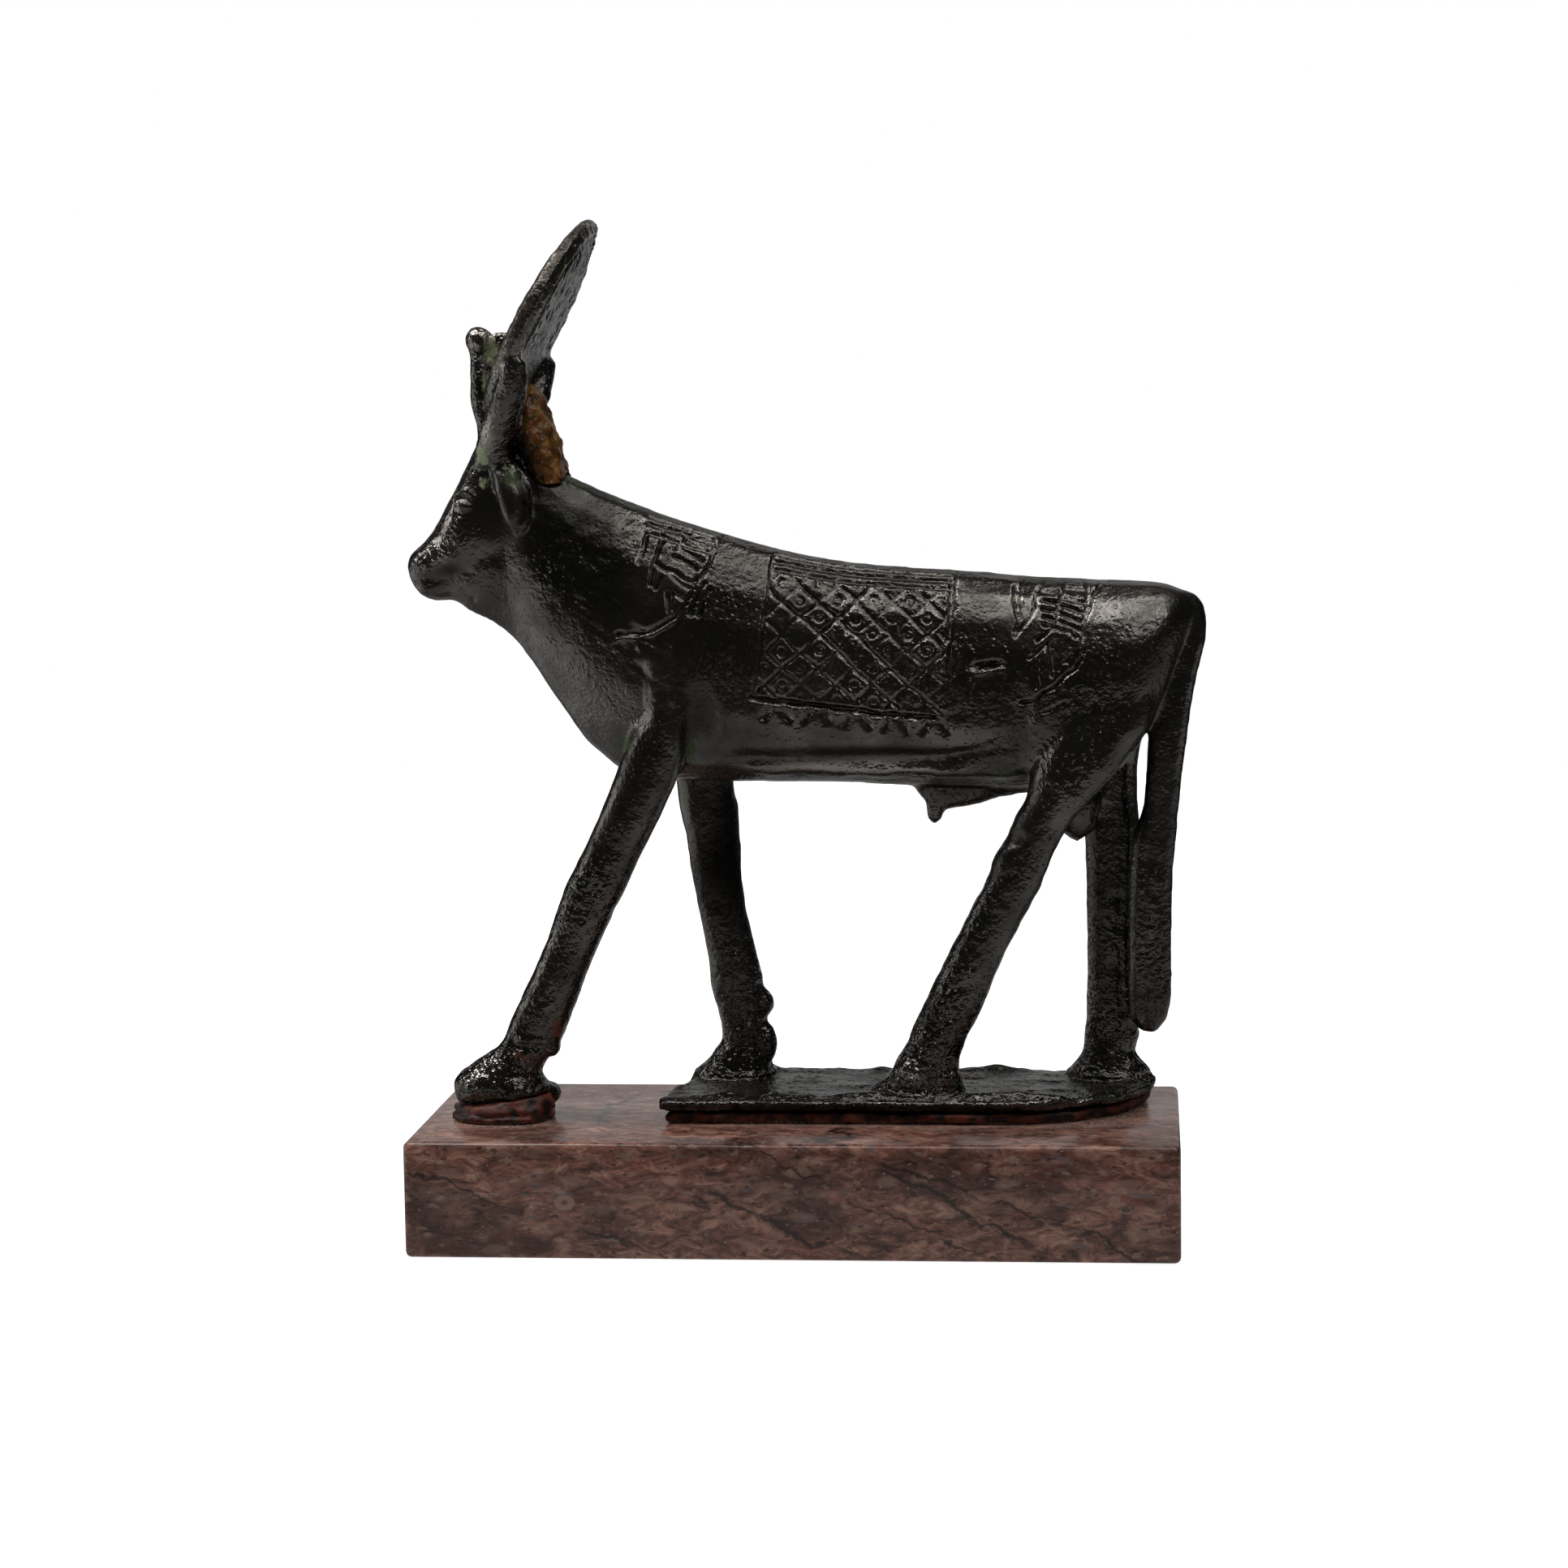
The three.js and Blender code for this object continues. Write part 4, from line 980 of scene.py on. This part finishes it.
def from_footprint(tree, coords, node):
    """Distance in metres from a bed's footprint, taken as a rounded rectangle."""
    low, high = (Vector(corner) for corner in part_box(node))
    middle, half = (low + high) / 2, (high - low) / 2
    corner = 0.9 * half.y
    steps = (("SUBTRACT", middle), ("MULTIPLY", (1, 1, 0)), ("ABSOLUTE", None),
             ("SUBTRACT", (half.x - corner, half.y - corner, 0)), ("MAXIMUM", (0, 0, 0)))
    value = coords
    for operation, other in steps:
        sockets = {0: value} if other is None else {0: value, 1: other}
        value = add(tree, "ShaderNodeVectorMath", sockets, operation=operation).outputs[0]
    length = add(tree, "ShaderNodeVectorMath", {0: value}, operation="LENGTH").outputs["Value"]
    return add(tree, "ShaderNodeMath", {0: length, 1: corner}, operation="SUBTRACT").outputs[0]


def lily_stem(tree, axes):
    """Distance from one round section of a sea lily's stem in the front face, 1 at its rim."""
    squares = []
    for axis, middle, half in (("X", -0.0275, 0.0013), ("Z", 0.0071, 0.00095)):
        away = add(tree, "ShaderNodeMath", {0: axes.outputs[axis], 1: middle}, operation="SUBTRACT")
        away = add(tree, "ShaderNodeMath", {0: away.outputs[0], 1: half}, operation="DIVIDE").outputs[0]
        squares.append(add(tree, "ShaderNodeMath", {0: away, 1: 2.0}, operation="POWER").outputs[0])
    return add(tree, "ShaderNodeMath", {0: squares[0], 1: squares[1]}, operation="ADD").outputs[0]


def acrylic_table(name, code, roughness, strength):
    """White acrylic lit from below: it stays white behind the object, and is a dimmer,
    even glow in the parts that only the object sees."""
    material, _, shader, _ = new_material(name)
    shader.inputs["Base Color"].default_value = linear(code)
    shader.inputs["Roughness"].default_value = roughness
    shader.inputs["Emission Color"].default_value = linear("#ffffff")
    shader.inputs["Emission Strength"].default_value = strength
    return material


# Pieces

class BULL_OT_cast_bronze(bpy.types.Operator):
    """The bull with its headdress and ground plate, cast in one, engraved and worn"""
    bl_idname = "bull.cast_bronze"
    bl_label = "Cast bronze"

    def execute(self, context):
        size = sizes()
        piece = copy_of_node("bronze_bull", "cast_bronze_bull")
        mesh = remeshed(piece, size.skin)
        points, edges, _ = mesh_arrays(mesh)
        places = place_in_figure(points)
        z = places[:, 2]
        weights = 0.25 + 0.75 * step(z, 3, 7) * step(z, 80, 72) * (0.6 + 0.4 * step(z, 38, 44))
        put_points(mesh, smoothed(points, edges, weights, 70))
        mesh = refined(piece, 1)
        points, edges, normals = mesh_arrays(mesh)
        places = place_in_figure(points)
        height = self.relief(places, normals)
        put_points(mesh, points + normals * height[:, None] * MM)
        mesh = thinned(piece, BRONZE_TRIANGLES)
        self.mark_surface(mesh)
        complete(piece, "bronze_bull", patinated_bronze())
        return {"FINISHED"}

    def relief(self, places, normals):
        """Height in millimetres of the worked surface over the smooth form."""
        size = sizes()
        corroded = roughness_share(places)
        height = 0.1 * step(places[:, 2], -0.6, 0.0)
        height += size.hammer / MM * unevenness(places) * (0.6 + 0.9 * corroded)
        height -= size.groove / MM * engraving(places, normals)
        height += head_relief(places, normals) + body_relief(places, normals)
        height += disc_relief(places, normals) + plate_relief(places, normals)
        small = pits(places, 1.3, 0.5, 31) * corroded
        large = pits(places, 3.1, 0.3, 41) * corroded
        height -= size.pit / MM * (0.8 * small + 1.3 * large)
        return height

    def mark_surface(self, mesh):
        """Attributes that tell the finish where it is rubbed, soiled, crinkled or corroded, and where
        light and shade are painted.
        """
        points, edges, normals = mesh_arrays(mesh)
        places = place_in_figure(points)
        x, y, z = places.T
        even = np.ones(len(points))
        raised = []
        for rounds in (8, 90):
            calm = smoothed(points, edges, even, rounds)
            raised.append(np.einsum("ij,ij->i", points - calm, normals) / MM)
        hollow = step(-raised[0], 0.02, 0.1) + 0.6 * step(-raised[1], 0.05, 0.3)
        rubbed = step(raised[0], 0.01, 0.06) + 0.5 * step(raised[1], 0.05, 0.25)
        crinkled = roughness_share(places)
        cloud = lumps(places, 4.0, 71)
        waist = span(z, 47.5, 50, 55, 58) * span(x, -18, -12, 37, 41)
        brown = 0.42 * waist * (0.75 + 0.4 * cloud) + 0.25 * waist * hollow
        brown += 0.2 * step(cloud, 0.1, 0.8) * step(z, 38, 34) + 0.35 * span(z, -2, -1, -0.6, 0.6)
        head = step(x, -31, -36) * step(z, 60, 64)
        neck = step(x, -18, -23) * step(z, 36, 42) * (1 - head)
        # Painted light and shade: the head and the headdress reflect more, the neck and the parts below
        # the belly less, and the painted sheen patches more
        tone_and_painted_light = 1.05 + 0.1 * head + 0.1 * step(z, 78, 82) - 0.3 * neck - 0.05 * step(z, 43, 35)
        tone_and_painted_light += patches(places, PAINTED_SHEEN)
        # The disc's rim reflects more all round as painted sheen. Along its crest it is rubbed bare, with
        # a pale crust on its lower part, and both are made bright as a painted highlight.
        _, through, radius = disc_place(places)
        on_rim = step(radius, 11.6, 12.2) * (radius < 15) * (np.abs(through) < 2) * step(z, 88, 92)
        crest = on_rim * ridge(radius, DISC_CREST, 0.45) * step(through, 0.5, 1.0) * (y < 2)
        bare = np.maximum(patches(places, BARE_AND_HIGHLIGHT), crest * (0.75 + 0.5 * lumps(places, 1.6, 72)))
        crust = crest * span(z, 91, 94, 104, 107) * (0.56 + 0.3 * lumps(places, 1.3, 73))
        chalk = np.maximum(patches(places, CHALK), crust)
        tone_and_painted_light += 0.6 * on_rim
        brown += 0.5 * on_rim * step(through, 0.6, 0.1)
        crinkled *= 1 - 0.6 * on_rim
        hollow *= 1 - 0.8 * on_rim
        # The plate is darker below 1.4 mm, and the painted shade patches darken the shaded places
        hollow += 0.15 * step(z, 1.4, 0.6) * (x > PLATE_FRONT - 0.5) + patches(places, PAINTED_SHADE)
        for name, values in (("tone_and_painted_light", tone_and_painted_light / 2), ("bare", bare), ("rubbed", rubbed), ("hollow", hollow),
                             ("crinkled", crinkled), ("brown", brown), ("green", patches(places, GREEN)),
                             ("chalk", chalk), ("rust", patches(places, RUST))):
            mark(mesh, name, values)


class BULL_OT_putty_beds(bpy.types.Operator):
    """The putty under the ground plate and the lump under the advanced forefoot"""
    bl_idname = "bull.putty_beds"
    bl_label = "Putty beds"

    def execute(self, context):
        material = oil_putty()
        for node, name in (("plate_bed", "putty_under_plate"), ("forefoot_bed", "putty_under_forefoot")):
            piece = copy_of_node(node, name)
            mesh = remeshed(piece, BED_SPACING)
            points, edges, normals = mesh_arrays(mesh)
            points = smoothed(points, edges, np.full(len(points), 0.6), 12)
            places = place_in_figure(points)
            foot = step(points[:, 2] - STONE_TOP, 0.0008, 0.0003)
            layered = places * np.array([0.7, 0.7, 2.2])
            press = 0.28 * lumps(places, 2.6, 81) + 0.24 * lumps(layered, 1.5, 82)
            press += 0.08 * lumps(places, 0.8, 84)
            if node == "forefoot_bed":
                up = (points[:, 2] - STONE_TOP) / MM + 0.25 * lumps(places, 3.0, 85)
                press -= 0.55 * ridge(up, 1.15, 0.22)
            press *= step(np.abs(normals[:, 2]), 0.9, 0.5)
            points = points + normals * (press * MM)[:, None]
            points[:, 2] -= 0.00026 * foot
            put_points(mesh, points)
            dust = 0.75 * step(points[:, 2] - STONE_TOP, 0.00045, 0.0001)
            mark(mesh, "dust", dust + 0.1 * lumps(places, 1.5, 83))
            complete(piece, node, material)
        return {"FINISHED"}


class BULL_OT_nape_filling(bpy.types.Operator):
    """The ochre fill between the disc, the horns and the nape"""
    bl_idname = "bull.nape_filling"
    bl_label = "Nape filling"

    def execute(self, context):
        piece = copy_of_node("nape_fill", "ochre_filling")
        mesh = remeshed(piece, FILL_SPACING)
        points, edges, normals = mesh_arrays(mesh)
        points = smoothed(points, edges, np.full(len(points), 0.7), 10)
        places = place_in_figure(points)
        height = 0.32 * lumps(places, 2.2, 91) + 0.2 * lumps(places, 0.9, 92)
        height += 0.1 * lumps(places, 0.45, 93)
        put_points(mesh, points + normals * (height * MM)[:, None])
        # Painted shade on the side of the fill next to the horn
        painted_shade_by_horn = step(places[:, 0] + 0.25 * (places[:, 2] - 80), -31.7, -33.7)
        mark(mesh, "painted_shade_by_horn", painted_shade_by_horn + 0.2 * lumps(places, 1.2, 94))
        complete(piece, "nape_fill", earth_fill())
        return {"FINISHED"}


class BULL_OT_limestone_block(bpy.types.Operator):
    """The sawn and polished plinth with its narrow bevels"""
    bl_idname = "bull.limestone_block"
    bl_label = "Limestone block"

    def execute(self, context):
        low, high = (Vector(corner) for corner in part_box("stone_plinth"))
        block = bmesh.new()
        scale = Matrix.Diagonal((high - low).to_4d())
        bmesh.ops.create_cube(block, size=1, matrix=Matrix.Translation((low + high) / 2) @ scale)
        upright = [e for e in block.edges if abs(e.verts[0].co.z - e.verts[1].co.z) > MM]
        level = [e for e in block.edges if e not in upright]
        bmesh.ops.bevel(block, geom=level + upright, offset=PLINTH_BEVEL, offset_type="OFFSET",
                        segments=3, profile=0.5, affect="EDGES", material=-1)
        piece = as_object("limestone_block", block)
        complete(piece, "stone_plinth", polished_limestone())
        piece.data.set_sharp_from_angle(angle=math.radians(40))
        return {"FINISHED"}


# Stage

# Where the lights aim, and the level of the parts of the table that only light the object
AIM = Vector((0, 0, 0.07))
TABLE_LEVEL = -0.0004
# The camera's place, its turn, dip and roll in degrees, and its lens and sensor in millimetres
CAMERA_PLACE = (0.04322, -0.45266, 0.10707)
CAMERA_ANGLES = (5.66, 6.36, -0.86)
CAMERA_LENS = 83.85
CAMERA_SENSOR = 36
# Strength of the room's light
ROOM = 0.025


class BULL_OT_studio(bpy.types.Operator):
    """A pale floor, soft lights and the camera"""
    bl_idname = "bull.studio"
    bl_label = "Studio"

    def execute(self, context):
        self.floor(context)
        self.lights(context)
        self.camera(context)
        self.surroundings(context)
        return {"FINISHED"}

    def floor(self, context):
        """The table that is seen, and the parts of it that light the object from below."""
        stage = context.scene.bull_stage
        for name, radius, place, share in (
                ("floor", stage.floor, (0, 0.05, 0), None),
                ("table_near", 0.18, (0, 0.02, TABLE_LEVEL), 0.34),
                ("table_left", 0.22, (-0.34, 0, TABLE_LEVEL), 1.0),
                ("table_right", 0.1, (0.24, 0, TABLE_LEVEL), 0.4)):
            disc = bmesh.new()
            bmesh.ops.create_circle(disc, cap_ends=True, radius=radius, segments=96,
                                    matrix=Matrix.Translation(place))
            piece = as_object(name, disc)
            seen = share is None
            if seen:
                material = acrylic_table("white_table", "#f4f4f4", 0.8, 0.85)
            else:
                material = acrylic_table("lit_table", "#101010", 0.9, share * stage.table)
            piece.data.materials.append(material)
            piece.visible_camera = seen
            piece.visible_diffuse = piece.visible_glossy = piece.visible_shadow = not seen

    def lights(self, context):
        """Soft round lights, each at a bearing round from the camera and a height."""
        stage = context.scene.bull_stage
        for name, bearing, rise, width, power in (
                ("overhead", 0, 68, 0.26, stage.overhead),
                ("left_high", 90, 60, 0.28, stage.side),
                ("left", 90, 12, 0.26, 0.27 * stage.side),
                ("right_front", -45, 40, 0.26, stage.fill),
                ("right_high", -90, 68, 0.26, 1.3 * stage.fill),
                ("behind", 180, 14, 0.6, 0.95 * stage.fill)):
            turn, lift = math.radians(bearing), math.radians(rise)
            toward = Vector((-math.sin(turn) * math.cos(lift), -math.cos(turn) * math.cos(lift),
                             math.sin(lift)))
            light = bpy.data.lights.new(name, "AREA")
            light.shape = "DISK"
            light.size = width
            light.energy = power
            holder = placed(name, light)
            holder.location = AIM + toward * stage.distance
            holder.rotation_euler = toward.to_track_quat("Z", "Y").to_euler()
            holder.visible_camera = False

    def camera(self, context):
        """The camera at the photograph's viewing angle."""
        yaw, pitch, roll = (math.radians(angle) for angle in CAMERA_ANGLES)
        ahead = Vector((-math.sin(yaw) * math.cos(pitch), math.cos(yaw) * math.cos(pitch),
                        -math.sin(pitch)))
        level = Vector((math.cos(yaw), math.sin(yaw), 0))
        over = level.cross(ahead)
        right = level * math.cos(roll) + over * math.sin(roll)
        up = over * math.cos(roll) - level * math.sin(roll)
        data = bpy.data.cameras.new("camera")
        data.lens = CAMERA_LENS
        data.sensor_width = CAMERA_SENSOR
        data.clip_start = 0.01
        camera = placed("camera", data)
        turn = Matrix((right, up, -ahead)).transposed()
        camera.matrix_world = Matrix.Translation(CAMERA_PLACE) @ turn.to_4x4()
        context.scene.camera = camera

    def surroundings(self, context):
        """White behind the object, and a dim room for everything else."""
        world = bpy.data.worlds.new("studio")
        world.use_nodes = True
        tree = world.node_tree
        tree.nodes.clear()
        seen = add(tree, "ShaderNodeLightPath").outputs["Is Camera Ray"]
        room = add(tree, "ShaderNodeBackground", {"Color": linear("#ffffff"), "Strength": ROOM})
        paper = add(tree, "ShaderNodeBackground", {"Color": linear("#ffffff"), "Strength": 1.0})
        mixed = add(tree, "ShaderNodeMixShader", {
            0: seen, 1: room.outputs[0], 2: paper.outputs[0]})
        add(tree, "ShaderNodeOutputWorld", {"Surface": mixed.outputs[0]})
        context.scene.world = world
        context.scene.view_settings.view_transform = "Standard"


class BULL_PT_panel(bpy.types.Panel):
    """Lists the pieces, their sizes and their colours"""
    bl_idname = "BULL_PT_panel"
    bl_label = "Apis bull"
    bl_space_type = "VIEW_3D"
    bl_region_type = "UI"
    bl_category = "Bull"

    def draw(self, context):
        for operator in OPERATORS:
            self.layout.operator(operator.bl_idname)
        for group in (context.scene.bull_sizes, context.scene.bull_colours, context.scene.bull_stage):
            for name in group.__annotations__:
                self.layout.prop(group, name)


OPERATORS = (
    BULL_OT_limestone_block,
    BULL_OT_putty_beds,
    BULL_OT_cast_bronze,
    BULL_OT_nape_filling,
    BULL_OT_studio,
)
CLASSES = (BullSizes, BullColours, StageSizes, *OPERATORS, BULL_PT_panel)


def register():
    for cls in CLASSES:
        bpy.utils.register_class(cls)
    bpy.types.Scene.bull_sizes = bpy.props.PointerProperty(type=BullSizes)
    bpy.types.Scene.bull_colours = bpy.props.PointerProperty(type=BullColours)
    bpy.types.Scene.bull_stage = bpy.props.PointerProperty(type=StageSizes)


def unregister():
    del bpy.types.Scene.bull_stage
    del bpy.types.Scene.bull_colours
    del bpy.types.Scene.bull_sizes
    for cls in reversed(CLASSES):
        bpy.utils.unregister_class(cls)


def main():
    register()
    bpy.ops.bull.limestone_block()
    bpy.ops.bull.putty_beds()
    bpy.ops.bull.cast_bronze()
    bpy.ops.bull.nape_filling()
    bpy.ops.bull.studio()


if __name__ == "__main__":
    main()
